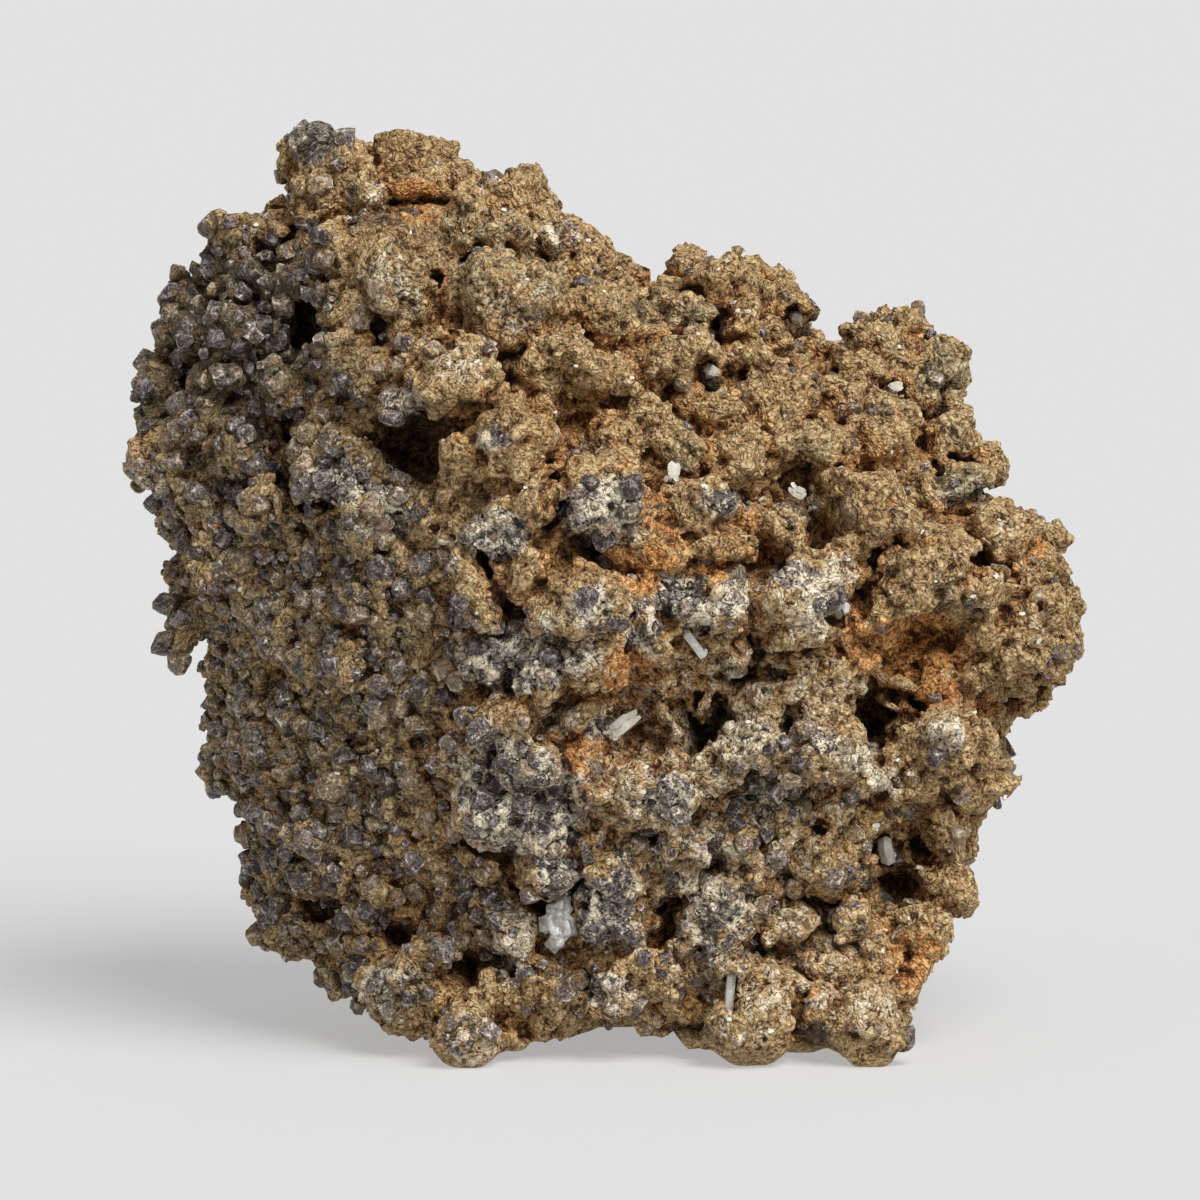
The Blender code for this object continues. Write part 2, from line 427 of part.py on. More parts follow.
def prism(bm, radius, length):
    """Adds a six-sided prism with a blunt point, root at the origin, pointing up."""
    made = bmesh.ops.create_cone(
        bm, cap_ends=True, segments=6, radius1=radius, radius2=radius, depth=length
    )["verts"]
    bmesh.ops.translate(bm, verts=made, vec=(0, 0, length / 2))
    bm.faces.ensure_lookup_table()
    cap = max(bm.faces, key=lambda face: face.calc_center_median().z)
    tip = bmesh.ops.extrude_face_region(bm, geom=[cap])["geom"]
    bmesh.ops.delete(bm, geom=[cap], context="FACES_ONLY")
    raised = [item for item in tip if isinstance(item, bmesh.types.BMVert)]
    peak = Vector((0.2 * radius, 0, length + 0.95 * radius))
    for vertex in raised:
        vertex.co = peak + Vector((vertex.co.x, vertex.co.y, 0)) * 0.12


def set_out(mass, parts, helpers, quartz, albite):
    """Makes the crystals that are pieces of their own, and sinks a pocket for each in the mass."""
    at = face_finder(mass)
    pockets = bpy.data.collections.new("pockets")
    helpers.children.link(pockets)
    out = Vector((0, -1, 0))
    for name, u, v, radius, length, lean, forward in QUARTZ_PRISMS:
        bm = bmesh.new()
        prism(bm, radius * MM, length * MM)
        turn = Euler((math.radians(forward), math.radians(lean), 0)).to_matrix()
        middle = turn @ Vector((0, 0, length * MM / 2))
        place = at(u, v)[0] - middle + out * (0.5 * radius - ROOT) * MM
        seat = Matrix.Translation(place) @ turn.to_4x4()
        bmesh.ops.transform(bm, matrix=seat, verts=bm.verts)
        piece(name, bm, parts, quartz)
        half = radius * MM + POCKET_GAP
        tall = (length + radius) * MM / 2
        box(pockets, name, seat, Vector((0, 0, tall)), (half, half, tall + POCKET_GAP))
    for name, u, v, long, wide, thick, lean in ALBITE_BLADES:
        turn = Euler((0, math.radians(-lean), 0)).to_matrix()
        place = at(u, v)[0] + out * (thick - ROOT) * MM
        seat = Matrix.Translation(place) @ turn.to_4x4()
        bm = bmesh.new()
        made = bmesh.ops.create_cube(bm, size=2)["verts"]
        for vertex in made:
            vertex.co.x *= long * (1.0 if vertex.co.z < 0 else 0.86)
            vertex.co.y *= thick * (0.7 if vertex.co.x > 0 else 1.0)
            vertex.co.z *= wide * (0.8 if vertex.co.x > 0 else 1.0)
        bmesh.ops.scale(bm, vec=(MM, MM, MM), verts=bm.verts)
        bmesh.ops.bevel(bm, geom=bm.edges[:], offset=0.14 * MM, segments=1, affect="EDGES")
        bmesh.ops.transform(bm, matrix=seat, verts=bm.verts)
        piece(name, bm, parts, albite)
        half = [size * MM + POCKET_GAP for size in (long, thick, wide)]
        box(pockets, name, seat, Vector(), half)
    cutting = mass.modifiers.new("pockets", "BOOLEAN")
    cutting.operation = "DIFFERENCE"
    cutting.operand_type = "COLLECTION"
    cutting.collection = pockets
    return settle(mass)


def box(collection, name, seat, centre, half):
    """A box-shaped cutter, seated as the crystal that it makes room for."""
    bm = bmesh.new()
    made = bmesh.ops.create_cube(bm, size=2)["verts"]
    sized = Matrix.Translation(centre) @ Matrix.Diagonal((*half, 1))
    bmesh.ops.transform(bm, matrix=seat @ sized, verts=made)
    hide(piece(f"pocket_{name}", bm, collection))


def grow_cluster(mass, parts, helpers, quartz):
    """The pale quartz cluster, fused into one piece, in a round pocket."""
    dice = random.Random(5)
    place = face_finder(mass)(*CLUSTER_PLACE)[0]
    bm = bmesh.new()
    for du, dv, size in CLUSTER:
        turn = Euler([dice.uniform(0, math.tau) for _ in range(3)]).to_matrix()
        rhomb(bm, place + Vector((du, -0.5 * size, dv)) * MM, size * MM, turn)
    cluster = piece("quartz_cluster", bm, parts, quartz)
    joining = cluster.modifiers.new("joined", "BOOLEAN")
    joining.operation = "UNION"
    joining.use_self = True
    spare = bmesh.new()
    rhomb(spare, place + Vector((0, -0.4, 0.5)) * MM, 1.3 * MM, Matrix.Identity(3))
    joining.object = piece("cluster_core", spare, helpers)
    hide(joining.object)
    settle(cluster)
    low = [min(v.co[axis] for v in cluster.data.vertices) for axis in range(3)]
    high = [max(v.co[axis] for v in cluster.data.vertices) for axis in range(3)]
    centre = Vector([(a + b) / 2 for a, b in zip(low, high)])
    half = [(b - a) / 2 + POCKET_GAP for a, b in zip(low, high)]
    box(helpers, "cluster", Matrix.Identity(4), centre, half)
    cutting = mass.modifiers.new("cluster", "BOOLEAN")
    cutting.operation = "DIFFERENCE"
    cutting.object = bpy.data.objects["pocket_cluster"]
    return settle(mass)


def stand(parts):
    """Turns every piece from the face frame to how the specimen stands, on the ground at z = 0."""
    turn = Matrix.Rotation(-EYE_TILT, 3, "X")
    ground = Vector((MIDDLE_X, MIDDLE_Y, GROUND))
    for obj in parts.objects:
        for vertex in obj.data.vertices:
            far = 1 + vertex.co.y / EYE_AWAY
            u = EYE_U + (vertex.co.x - EYE_U) * far
            v = EYE_V + (vertex.co.z - EYE_V) * far
            vertex.co = turn @ Vector((u, vertex.co.y, v)) - ground


def cut_base(mass, helpers):
    """Cuts the mass off flat where it rests."""
    bm = bmesh.new()
    made = bmesh.ops.create_cube(bm, size=1)["verts"]
    bmesh.ops.scale(bm, vec=(0.4, 0.4, 0.1), verts=made)
    bmesh.ops.translate(bm, vec=(0, 0, -0.05), verts=made)
    ground = piece("ground", bm, helpers)
    hide(ground)
    cutting = mass.modifiers.new("base", "BOOLEAN")
    cutting.operation = "DIFFERENCE"
    cutting.object = ground
    return settle(mass)


def main():
    for obj in list(bpy.data.objects):
        bpy.data.objects.remove(obj)
    scene = bpy.context.scene
    parts = bpy.data.collections.new("albite_with_siderite_and_quartz")
    helpers = bpy.data.collections.new("cutters")
    helpers.hide_render = True
    scene.collection.children.link(parts)
    scene.collection.children.link(helpers)
    albite_crust = material("albite_crust", CLAY_ALBITE, 0.85)
    quartz = material("quartz", CLEAR_QUARTZ, 0.12)
    albite = material("albite_clean", PALE_ALBITE, 0.35)
    dice = random.Random(BACK_SEED)
    mass = fuse(plate(parts), ROUGH_CELL)
    mass = swell(mass)
    mass = add_lumps(mass, dice)
    mass = sink_hollows(mass, dice)
    mass = thin_out(mass)
    mass = grow_rhombs(mass, dice, helpers)
    mass = set_out(mass, parts, helpers, quartz, albite)
    mass = grow_cluster(mass, parts, helpers, quartz)
    stand(parts)
    mass = cut_base(mass, helpers)
    mass.data.materials.clear()
    mass.data.materials.append(albite_crust)


main()
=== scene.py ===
"""A cabinet specimen of albite with siderite and quartz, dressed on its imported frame."""
import json
import math
import random

import bmesh
import bpy
import numpy as np
from mathutils import Euler, Matrix, Vector, noise
from mathutils.bvhtree import BVHTree
from mathutils.kdtree import KDTree

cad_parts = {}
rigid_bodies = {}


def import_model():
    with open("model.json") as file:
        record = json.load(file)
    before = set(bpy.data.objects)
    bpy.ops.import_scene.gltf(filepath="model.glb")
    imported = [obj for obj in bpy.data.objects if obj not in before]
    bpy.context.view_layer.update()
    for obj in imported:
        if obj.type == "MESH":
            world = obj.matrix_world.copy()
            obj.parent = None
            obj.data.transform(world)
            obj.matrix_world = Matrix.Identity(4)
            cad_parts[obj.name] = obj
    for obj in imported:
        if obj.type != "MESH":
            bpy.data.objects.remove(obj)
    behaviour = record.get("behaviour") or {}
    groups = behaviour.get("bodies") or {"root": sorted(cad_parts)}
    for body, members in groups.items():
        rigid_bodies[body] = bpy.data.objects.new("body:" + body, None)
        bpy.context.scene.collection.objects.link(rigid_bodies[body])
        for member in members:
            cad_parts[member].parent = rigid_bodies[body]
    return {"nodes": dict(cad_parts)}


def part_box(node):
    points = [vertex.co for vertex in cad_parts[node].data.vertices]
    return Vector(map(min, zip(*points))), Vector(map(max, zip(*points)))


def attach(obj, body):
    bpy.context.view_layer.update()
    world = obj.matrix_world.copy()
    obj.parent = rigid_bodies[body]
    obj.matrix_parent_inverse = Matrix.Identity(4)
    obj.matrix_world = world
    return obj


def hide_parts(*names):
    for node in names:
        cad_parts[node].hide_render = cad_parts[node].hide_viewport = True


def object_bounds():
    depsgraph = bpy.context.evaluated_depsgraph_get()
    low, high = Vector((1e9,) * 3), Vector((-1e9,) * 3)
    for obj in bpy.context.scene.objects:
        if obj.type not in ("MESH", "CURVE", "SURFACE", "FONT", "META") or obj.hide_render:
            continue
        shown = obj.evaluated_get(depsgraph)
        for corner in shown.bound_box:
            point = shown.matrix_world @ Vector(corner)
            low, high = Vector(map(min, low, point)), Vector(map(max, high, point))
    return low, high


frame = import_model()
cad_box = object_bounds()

# The eye and the studio.
# A cabinet specimen is photographed from far off, a little from above, on pale card lit faintly from beneath.
# One broad soft window stands high on the right, with a weak fill from the left.
MM = 0.001
EYE_TILT = math.radians(8.0)
EYE_AWAY = 1.6
EYE_U = -0.001
EYE_V = 0.05775
GROUND = 2.7 * MM
MIDDLE_X = -0.2 * MM
MIDDLE_Y = 7.4 * MM
FIELD = 0.150
SENSOR = 36.0
CLIP_NEAR = 0.05
CLIP_FAR = 200.0
CARD_GREY = 0.285
CARD_PALE = 0.9
CARD_FLECK = 0.02
CARD_GRAIN = 4 * MM
CARD_GLOW = 0.385
CARD_HALF = 30.0
KEY_FROM = (0.62, -0.80, 1.25)
KEY_STRENGTH = 3.8
KEY_SPREAD = math.radians(44)
FILL_FROM = (-0.9, -0.8, 0.35)
FILL_STRENGTH = 0.2
FILL_SPREAD = math.radians(50)
SKY_STRENGTH = 0.28

turn = Matrix.Rotation(-EYE_TILT, 3, "X")
middle = Vector((MIDDLE_X, MIDDLE_Y, GROUND))
eye = turn @ Vector((EYE_U, -EYE_AWAY, EYE_V)) - middle


def sight(u, v):
    """The direction from the eye through a place of the face, given in millimetres."""
    return (turn @ Vector((u * MM, 0, v * MM)) - middle - eye).normalized()


def face_place(points):
    """Where points appear on the face: across, up and away, as arrays in millimetres."""
    turned = (points + np.array(middle)) @ np.array(turn)
    far = 1 + turned[:, 1] / EYE_AWAY
    across = (EYE_U + (turned[:, 0] - EYE_U) / far) / MM
    up = (EYE_V + (turned[:, 2] - EYE_V) / far) / MM
    return across, up, turned[:, 1] / MM


scene = bpy.context.scene
scene.view_settings.view_transform = "Standard"
lens = bpy.data.cameras.new("eye")
lens.sensor_width = SENSOR
lens.lens = SENSOR * EYE_AWAY / FIELD
lens.clip_start = CLIP_NEAR
lens.clip_end = CLIP_FAR
camera = bpy.data.objects.new("eye", lens)
camera.location = eye
camera.rotation_euler = (turn @ Vector((0, 1, 0))).to_track_quat("-Z", "Y").to_euler()
scene.collection.objects.link(camera)
scene.camera = camera

for name, source, strength, spread in (
    ("window", KEY_FROM, KEY_STRENGTH, KEY_SPREAD),
    ("fill", FILL_FROM, FILL_STRENGTH, FILL_SPREAD),
):
    lamp = bpy.data.lights.new(name, "SUN")
    lamp.energy = strength
    lamp.angle = spread
    hung = bpy.data.objects.new(name, lamp)
    hung.rotation_euler = Vector(source).to_track_quat("Z", "Y").to_euler()
    scene.collection.objects.link(hung)

sky = bpy.data.worlds.new("sky")
sky.use_nodes = True
sky.node_tree.nodes["Background"].inputs["Color"].default_value = (1, 1, 1, 1)
sky.node_tree.nodes["Background"].inputs["Strength"].default_value = SKY_STRENGTH
scene.world = sky


def feed(tree, socket, value):
    """Gives a socket a value, or a link from another node."""
    if isinstance(value, Shade):
        value = value.socket
    if isinstance(value, bpy.types.NodeSocket):
        tree.links.new(value, socket)
    else:
        socket.default_value = value


def plant(kind, tree, settings, values):
    """One node of a tree: first its settings, then its sockets' values or links."""
    made = tree.nodes.new(kind)
    for label, value in settings.items():
        setattr(made, label, value)
    for label, value in values.items():
        feed(tree, made.inputs[label], value)
    return made


class Shade:
    """A number that varies over a surface. Sums and products of it become Math nodes."""

    def __init__(self, finish, socket):
        self.finish = finish
        self.socket = socket

    def maths(self, operation, *values):
        return self.finish.node("ShaderNodeMath", {"operation": operation}, dict(enumerate(values)), 0)

    def __add__(self, other):
        return self.maths("ADD", self, other)

    def __sub__(self, other):
        return self.maths("SUBTRACT", self, other)

    def __rsub__(self, other):
        return self.maths("SUBTRACT", other, self)

    def __mul__(self, other):
        return self.maths("MULTIPLY", self, other)

    __radd__ = __add__
    __rmul__ = __mul__

    def size(self):
        return self.maths("ABSOLUTE", self)

    def rise(self, low, high):
        """0 below low, 1 above high, and a smooth rise between."""
        values = {"Value": self, "From Min": low, "From Max": high}
        return self.finish.node("ShaderNodeMapRange", {"interpolation_type": "SMOOTHSTEP"}, values, 0)


class Finish:
    """One material being made. Every node but the shader's own comes from one method."""

    def __init__(self, name, **constants):
        self.material = bpy.data.materials.new(name)
        self.material.use_nodes = True
        self.tree = self.material.node_tree
        self.shader = self.tree.nodes["Principled BSDF"]
        for label, value in constants.items():
            self.shader.inputs[label.replace("_", " ")].default_value = value
        self.place = self.node("ShaderNodeTexCoord", {}, {}, "Object")

    def node(self, kind, settings, values, output):
        return Shade(self, plant(kind, self.tree, settings, values).outputs[output])

    def grain(self, cell, detail=2.0, rough=0.55, twist=0.0):
        """Smooth noise, 0 to 1, whose blotches are about one cell across, in metres."""
        values = {
            "Vector": self.place, "Scale": 1 / cell, "Detail": detail, "Roughness": rough,
            "Distortion": twist,
        }
        return self.node("ShaderNodeTexNoise", {}, values, "Fac")

    def cells(self, cell):
        """How far a place lies from the middle of the rounded cell that it is in."""
        values = {"Vector": self.place, "Scale": 1 / cell}
        return self.node("ShaderNodeTexVoronoi", {"feature": "F1"}, values, "Distance")

    def spread(self, name):
        """A number stored on the mesh."""
        return self.node("ShaderNodeAttribute", {"attribute_name": name}, {}, "Fac")

    def mix(self, share, first, second):
        """A colour between two, by a share."""
        return self.node("ShaderNodeMix", {"data_type": "RGBA"}, {0: share, 6: first, 7: second}, 2)

    def tones(self, lit, dark, mid, light):
        """A colour from dark through mid to light as lit goes from 0 to 1."""
        low = self.mix(lit.rise(0.0, 0.5), rgb(*dark), rgb(*mid))
        return self.mix(lit.rise(0.5, 1.0), low, rgb(*light))

    def bump(self, height, depth):
        values = {"Height": height, "Distance": depth, "Strength": 1.0}
        return self.node("ShaderNodeBump", {}, values, "Normal")

    def finished(self, colour, rough=None, normal=None):
        for label, value in (("Base Color", colour), ("Roughness", rough), ("Normal", normal)):
            if value is not None:
                feed(self.tree, self.shader.inputs[label], value)
        return self.material


def rgb(red, green, blue):
    """A colour as a screen shows it, 0 to 255, turned linear."""
    share = [value / 255 for value in (red, green, blue)]
    return (*[s / 12.92 if s <= 0.04045 else ((s + 0.055) / 1.055) ** 2.4 for s in share], 1.0)


def cards_finish():
    finish = Finish("pale_card", Roughness=0.9, Emission_Color=(1, 1, 1, 1), Emission_Strength=CARD_GLOW)
    fleck = finish.grain(CARD_GRAIN, 3)
    grey = (CARD_GREY, CARD_GREY, CARD_GREY, 1)
    return finish.finished(finish.mix(fleck * CARD_FLECK, grey, (CARD_PALE, CARD_PALE, CARD_PALE, 1)))


bm = bmesh.new()
bmesh.ops.create_grid(bm, x_segments=1, y_segments=1, size=CARD_HALF)
mesh = bpy.data.meshes.new("floor")
bm.to_mesh(mesh)
bm.free()
floor = bpy.data.objects.new("floor", mesh)
floor.data.materials.append(cards_finish())
scene.collection.objects.link(floor)

# The albite crust.
# The body of the specimen: sugary albite stained tan by iron, grown as a knobbly crust in one piece.
# Warty lumps crowd one another, with dark crevices between them and deep hollows where none grew.
CLEAR_PIECES = sorted(name for name in frame["nodes"] if name != "matrix")
ROCK_CELL = 1.0 * MM
LUMPY_CELL = 0.75 * MM
CRUST_CELL = 0.42 * MM
CRUST_FACES = 194000
ROCK_SMOOTHING = 4
SOCKET_RIM = 1.3 * MM
SOCKET_PLUG = 0.7 * MM
FACET_FLATNESS = 0.75
SINK = 2.1 * MM
RIM_SINK = 0.8 * MM
LUMP_ROUGH = 0.22
LUMP_PROUD = 0.36
FOOT_PROUD = 0.12
FOOT_TOP = 8
LUMP_LEAN = 18
LOOSE_LEAN = 70
FACET_GAPS = 0.45
KNOB_ROUGH = 0.18
KNOB_SUNK = 0.8
COVER_BEFORE = 0.7 * MM
STIRRINGS = ((2.8 * MM, 7 * MM), (0.8 * MM, 2.2 * MM))
STIR_SEED = 3
CREVICE_DEPTH = 1.3 * MM
CREST_RISE = 0.2 * MM
HOLLOW_EDGE = 1.5
WORM_HEIGHT = 0.42 * MM
DIP_GAIN = 1.3
DIP_DEPTH = 0.5 * MM
FRONT_REACH = cad_box[0][1] - 0.6 * MM
FRONT_PRESS = 0.7
FEELER_LIFT = 0.2 * MM
FEELER_REACH = 5 * MM
# Lumps on the face, in millimetres: across, up, half width, half height. The first is the knob's place.
LUMPS = (
    (-36.4, 115, 3.4, 3.2), (-35, 109.8, 5, 4.4), (-29.3, 108.4, 2.8, 2.8), (-27.4, 113.4, 3.4, 3.4),
    (-22.4, 110.5, 2.6, 2.6), (-26, 102.8, 5.4, 3.4), (-26.6, 97, 4.2, 6.6), (-46.5, 102.4, 4, 3.6),
    (-41.6, 104.2, 4.2, 3.4), (-37.6, 98.4, 3.6, 3.6), (-32.6, 99.6, 3.6, 4.6), (-45.6, 97.8, 4.4, 3.2),
    (-45.4, 91.6, 5.2, 4.2), (-51.4, 95, 3.2, 3.2), (-53, 89.6, 3.6, 3.6), (-33, 88, 3.6, 3.4),
    (-29.4, 86, 2.8, 3.8), (-33.4, 94, 3, 3), (-40.5, 84.4, 4.4, 2.8), (-47.5, 85.4, 3.4, 3),
    (-55.6, 84, 3.4, 3.4), (-50, 81, 3.6, 3.6), (-54, 76.6, 3.4, 3.8), (-46, 76.6, 3.8, 3.4),
    (-19, 86, 6, 4.4), (-25.6, 82.6, 3.4, 2.6), (-17.4, 105.4, 3, 4.8), (-11.4, 108, 3.2, 2.6),
    (-6.2, 103.4, 4, 3.6), (-2.2, 100.4, 3.6, 3.6), (-12.4, 95.8, 7.4, 5.6), (-20.4, 95.4, 2.8, 3.4),
    (-12.4, 103, 3.4, 3), (-3, 94.4, 4.2, 3.8), (-7, 87.4, 5, 3.6), (-13.4, 79.4, 5.2, 4.6),
    (13.4, 97.2, 5, 3.4), (17.4, 93.4, 3, 2.8), (22, 94.4, 2.8, 3), (10.2, 93.4, 3.8, 2.6),
    (3, 91.4, 3.8, 3), (7.4, 86.6, 4.8, 4.2), (0, 85, 3.6, 3.4), (14.8, 81, 4.4, 3.6), (5, 80, 3.2, 3),
    (18.6, 86.6, 4, 3), (21.8, 90, 2.6, 2.6), (22.4, 82, 4, 3.4), (34.4, 90.6, 4, 2.6), (38, 91.4, 2.8, 2.4),
    (32.4, 86.6, 3.2, 2.4), (41.4, 86.4, 3.6, 3.2), (38, 83.6, 2.2, 2), (42.6, 81.6, 2, 2),
    (28.4, 83.4, 3.4, 2.8), (34.4, 81.6, 3.2, 2.4), (26, 76.8, 5, 4), (33.6, 77, 3.8, 3),
    (42.6, 77, 3.8, 3.2), (46, 74.6, 2.4, 2.6), (-17.2, 75, 3.8, 3.6), (-10.8, 73.2, 3.2, 2.8),
    (-10, 69.6, 2.6, 2.4), (-14.2, 66, 4.8, 3.4), (-1.4, 71, 5.8, 5.8), (-0.4, 78, 3.8, 2.8),
    (8.2, 76.4, 3, 3.2), (16, 76, 4, 3.4), (-34, 74, 5.4, 5.6), (-27.6, 67.8, 4.6, 4.2),
    (-35.6, 66.6, 3.6, 3), (-43, 69.8, 3.6, 3.2), (-50.4, 70.4, 4, 3.6), (-37.2, 61.6, 3, 2.8),
    (-30.6, 61.6, 3, 2.8), (-23.6, 62.6, 3.2, 3), (-46.6, 62.6, 3.6, 3.2), (-51.6, 61.4, 2.8, 3.4),
    (-42, 57, 3.2, 3), (-34.6, 56, 3.2, 3), (-26.8, 56.4, 3.2, 3), (-50.4, 54.6, 3, 3.2),
    (-39.8, 52.6, 3.2, 2.8), (-31.6, 50.6, 3.2, 3), (-45.4, 49, 3, 3), (-23.6, 50, 3.4, 3),
    (-38, 44, 3.4, 3.2), (-30.4, 44, 3.6, 3.2), (-47.6, 42.6, 3.2, 3.4), (-46.8, 37, 3.6, 2.8),
    (-22.4, 43, 3.6, 3.4), (-40.6, 37.4, 3.2, 3), (-34.8, 35, 3, 2.8), (-27.4, 36.4, 3.4, 3),
    (-42.6, 30.6, 3.2, 3.2), (-36.6, 28.8, 3.2, 2.8), (-30.6, 29.8, 3, 2.8), (-24.6, 29.6, 3.2, 2.8),
    (-42.2, 24.8, 3, 3), (-36.4, 23.2, 3, 2.8), (-30, 22.4, 3.2, 2.8), (-23.8, 23.4, 3, 2.8),
    (-40.8, 18.4, 3.6, 3), (-31.4, 17.4, 3.4, 3), (-33.4, 11.8, 2.8, 2.6), (-28.4, 8.8, 3.2, 3),
    (-22.4, 9.6, 3.4, 3), (-20.4, 14.4, 2.6, 2.6), (-17.2, 3.4, 4.8, 4.6), (-11.4, 8.6, 3.8, 3.4),
    (-12.4, 16.8, 3.6, 3.4), (-15.6, 25, 2.8, 2.6), (-15.4, 32.4, 4.6, 4.4), (-9.4, 37.6, 4.2, 4),
    (-13.4, 42.6, 3.8, 3.4), (-8.4, 29, 3.6, 3.2), (-17.6, 38.4, 3.2, 3), (-17.2, 60, 2.4, 4.4),
    (-10.4, 61.4, 3, 3.6), (-3, 58, 5, 4.6), (-7.4, 55, 3, 2.4), (-1.2, 50.4, 3, 2.8),
    (-13.6, 51, 4.4, 3), (-8.6, 48.6, 4, 2.8), (4.6, 57, 2.6, 3.2), (12, 56.6, 4.6, 4.6),
    (15, 50.4, 2.6, 3), (6, 51.8, 2.4, 2.2), (10.4, 68.4, 5, 3.4), (6.4, 63.6, 4, 3.2),
    (14, 64.4, 3.8, 2.8), (17.6, 41, 3.6, 4.4), (12.2, 47.4, 2.2, 2), (22.4, 67.6, 3, 2.6),
    (31.6, 70.8, 3.6, 3.2), (44.8, 71, 4.2, 2.8), (36, 67, 3, 2.8), (31.6, 65.6, 3.2, 3),
    (41.8, 63.4, 4.6, 4.2), (37, 60.6, 4.4, 4.2), (47, 58.4, 2.8, 2.8), (29.6, 61.4, 3, 3.4),
    (23.6, 57.4, 5.6, 6.8), (34.4, 57, 3.4, 2.8), (49.8, 64.8, 4, 3.6), (54.8, 61.2, 3.2, 3.6),
    (53.2, 54.4, 5.2, 7.6), (24.8, 47, 3, 2.8), (29, 46.2, 2.8, 2.6), (20.4, 46, 2.4, 2.4),
    (42.6, 40.2, 5.6, 4.8), (27, 40, 4.2, 3.8), (33, 37, 3.4, 3), (22.4, 38.4, 2.8, 3),
    (37.6, 35.4, 2.6, 2.4), (45.4, 34.4, 3, 3.4), (3, 33.6, 3.4, 2.8), (7.6, 33.2, 3, 2.8),
    (12.8, 34.6, 3.6, 3.2), (-1.8, 36.2, 2.4, 2.4), (22.6, 31, 3.4, 2.4), (29.4, 31.4, 3, 2.4),
    (8.2, 27.2, 3.4, 2.6), (14.6, 27, 3.2, 2.6), (2.4, 24.6, 3, 2.6), (9, 21.6, 3, 2.6),
    (15, 21.4, 3, 2.8), (21.4, 24.6, 3.2, 3), (27.6, 25, 3.4, 3), (0, 18.4, 3.6, 5), (13.4, 16.4, 3.2, 3),
    (21, 17.6, 3.4, 3.2), (28.6, 18.6, 3, 2.8), (33.4, 14.8, 2.6, 2.6), (28.4, 12.8, 2.8, 2.6),
    (41.6, 22.4, 3.6, 3.8), (43, 29.6, 3.2, 3), (38.6, 14, 3.8, 4), (32.6, 4.4, 3.8, 5.4),
    (26.4, 6.4, 2.4, 2.4), (17.4, 3.8, 5.2, 4.8), (6.8, 11.6, 3, 2.4), (0, 8.4, 3.2, 2.8),
    (22.4, 11.6, 3, 2.8),
    (7.4, 6.6, 3.2, 2.4), (-5.4, 7.6, 3.2, 2.8),
)
# More lumps, along the foot and the outline.
EDGE_LUMPS = (
    (24.6, 2.6, 3.2, 3.4), (12, 2.6, 2.8, 2.4), (-24, 4.4, 3.4, 3.2), (-11.4, 4, 3, 2.6),
    (28.6, 1.6, 2.6, 2.4), (35.4, 4, 2.6, 4.2), (37, 9, 2.2, 2.8), (13.4, 5.4, 2.2, 2), (17, 12, 2, 1.7),
    (13.2, 12.4, 2, 1.6), (21, 1.6, 2.4, 2.2), (-5, 4.6, 2.6, 1.8), (3, 4.8, 3, 1.8), (55, 66, 2.6, 2),
)
# The dark round knob on the left end of the crest, and two lumps before the ends of the foot's prism.
KNOB = (-36.6, 114.9, 3.1, 3.0)
COVERS = ((15.0, 5.0, 2.3, 2.0), (15.5, 12.0, 2.5, 2.2))
# The part of the foot's prism that shows between them.
PRISM_SHOWN = (15.2, 8.7, 0.5, 1.7)
# Hollows and crevices in the face, in millimetres: across, up, half width, half height, depth.
HOLLOWS = (
    (-24, 77, 6, 4, 11), (34.4, 43.6, 4.4, 2.9, 12), (12.3, 41.6, 2, 5, 9), (-7.4, 71, 1.1, 4, 7),
    (-39, 79.6, 1.8, 1.8, 7), (-39.6, 71, 1.6, 2.8, 7), (-38, 92.6, 2.4, 3, 7), (-45.6, 95.2, 1.7, 0.9, 5),
    (-38, 107.2, 1.5, 1.2, 5), (-21.6, 95, 1.1, 3.8, 5), (-21, 90.4, 1.9, 1.5, 6), (-19, 101, 1.6, 1.4, 5),
    (-3, 79.8, 2.6, 1.3, 6), (11.7, 84, 1.4, 1.3, 5), (14.2, 92.6, 1.4, 1.3, 5), (23.4, 73, 2.2, 2, 7),
    (-2, 65, 2.4, 1.3, 5), (-13.4, 60.4, 1.3, 3.2, 6), (18.4, 62.4, 1.3, 3, 6), (31.8, 58, 1.1, 2, 6),
    (46.3, 62.4, 1.1, 2.8, 7), (37.4, 51.6, 5, 3, 2), (34.5, 26.4, 2.1, 1.8, 8), (36.2, 21.8, 2.2, 2, 9),
    (-36.2, 19.6, 2.2, 2.2, 8), (-25.7, 16.2, 1.9, 1.6, 6), (-18.8, 11, 2.2, 1.6, 6), (-4, 21, 1.4, 3.4, 7),
    (6, 17.4, 1.5, 2.6, 6), (3.6, 42, 4, 4.4, 4.5), (18, 48.6, 4.4, 0.9, 6), (16.6, 52.2, 1.2, 1.2, 5),
    (-31.4, 40.2, 1.3, 0.9, 4), (25.6, 3.4, 1.8, 1.4, 3), (39.4, 26.4, 1.4, 2, 5), (20.6, 70.6, 1.4, 1.4, 5),
    (-34, 105, 1.5, 1.1, 4), (-26.4, 106.6, 2.6, 1, 5), (26.2, 66.8, 1.3, 2.6, 5), (41.4, 53.4, 3, 2, 2),
)
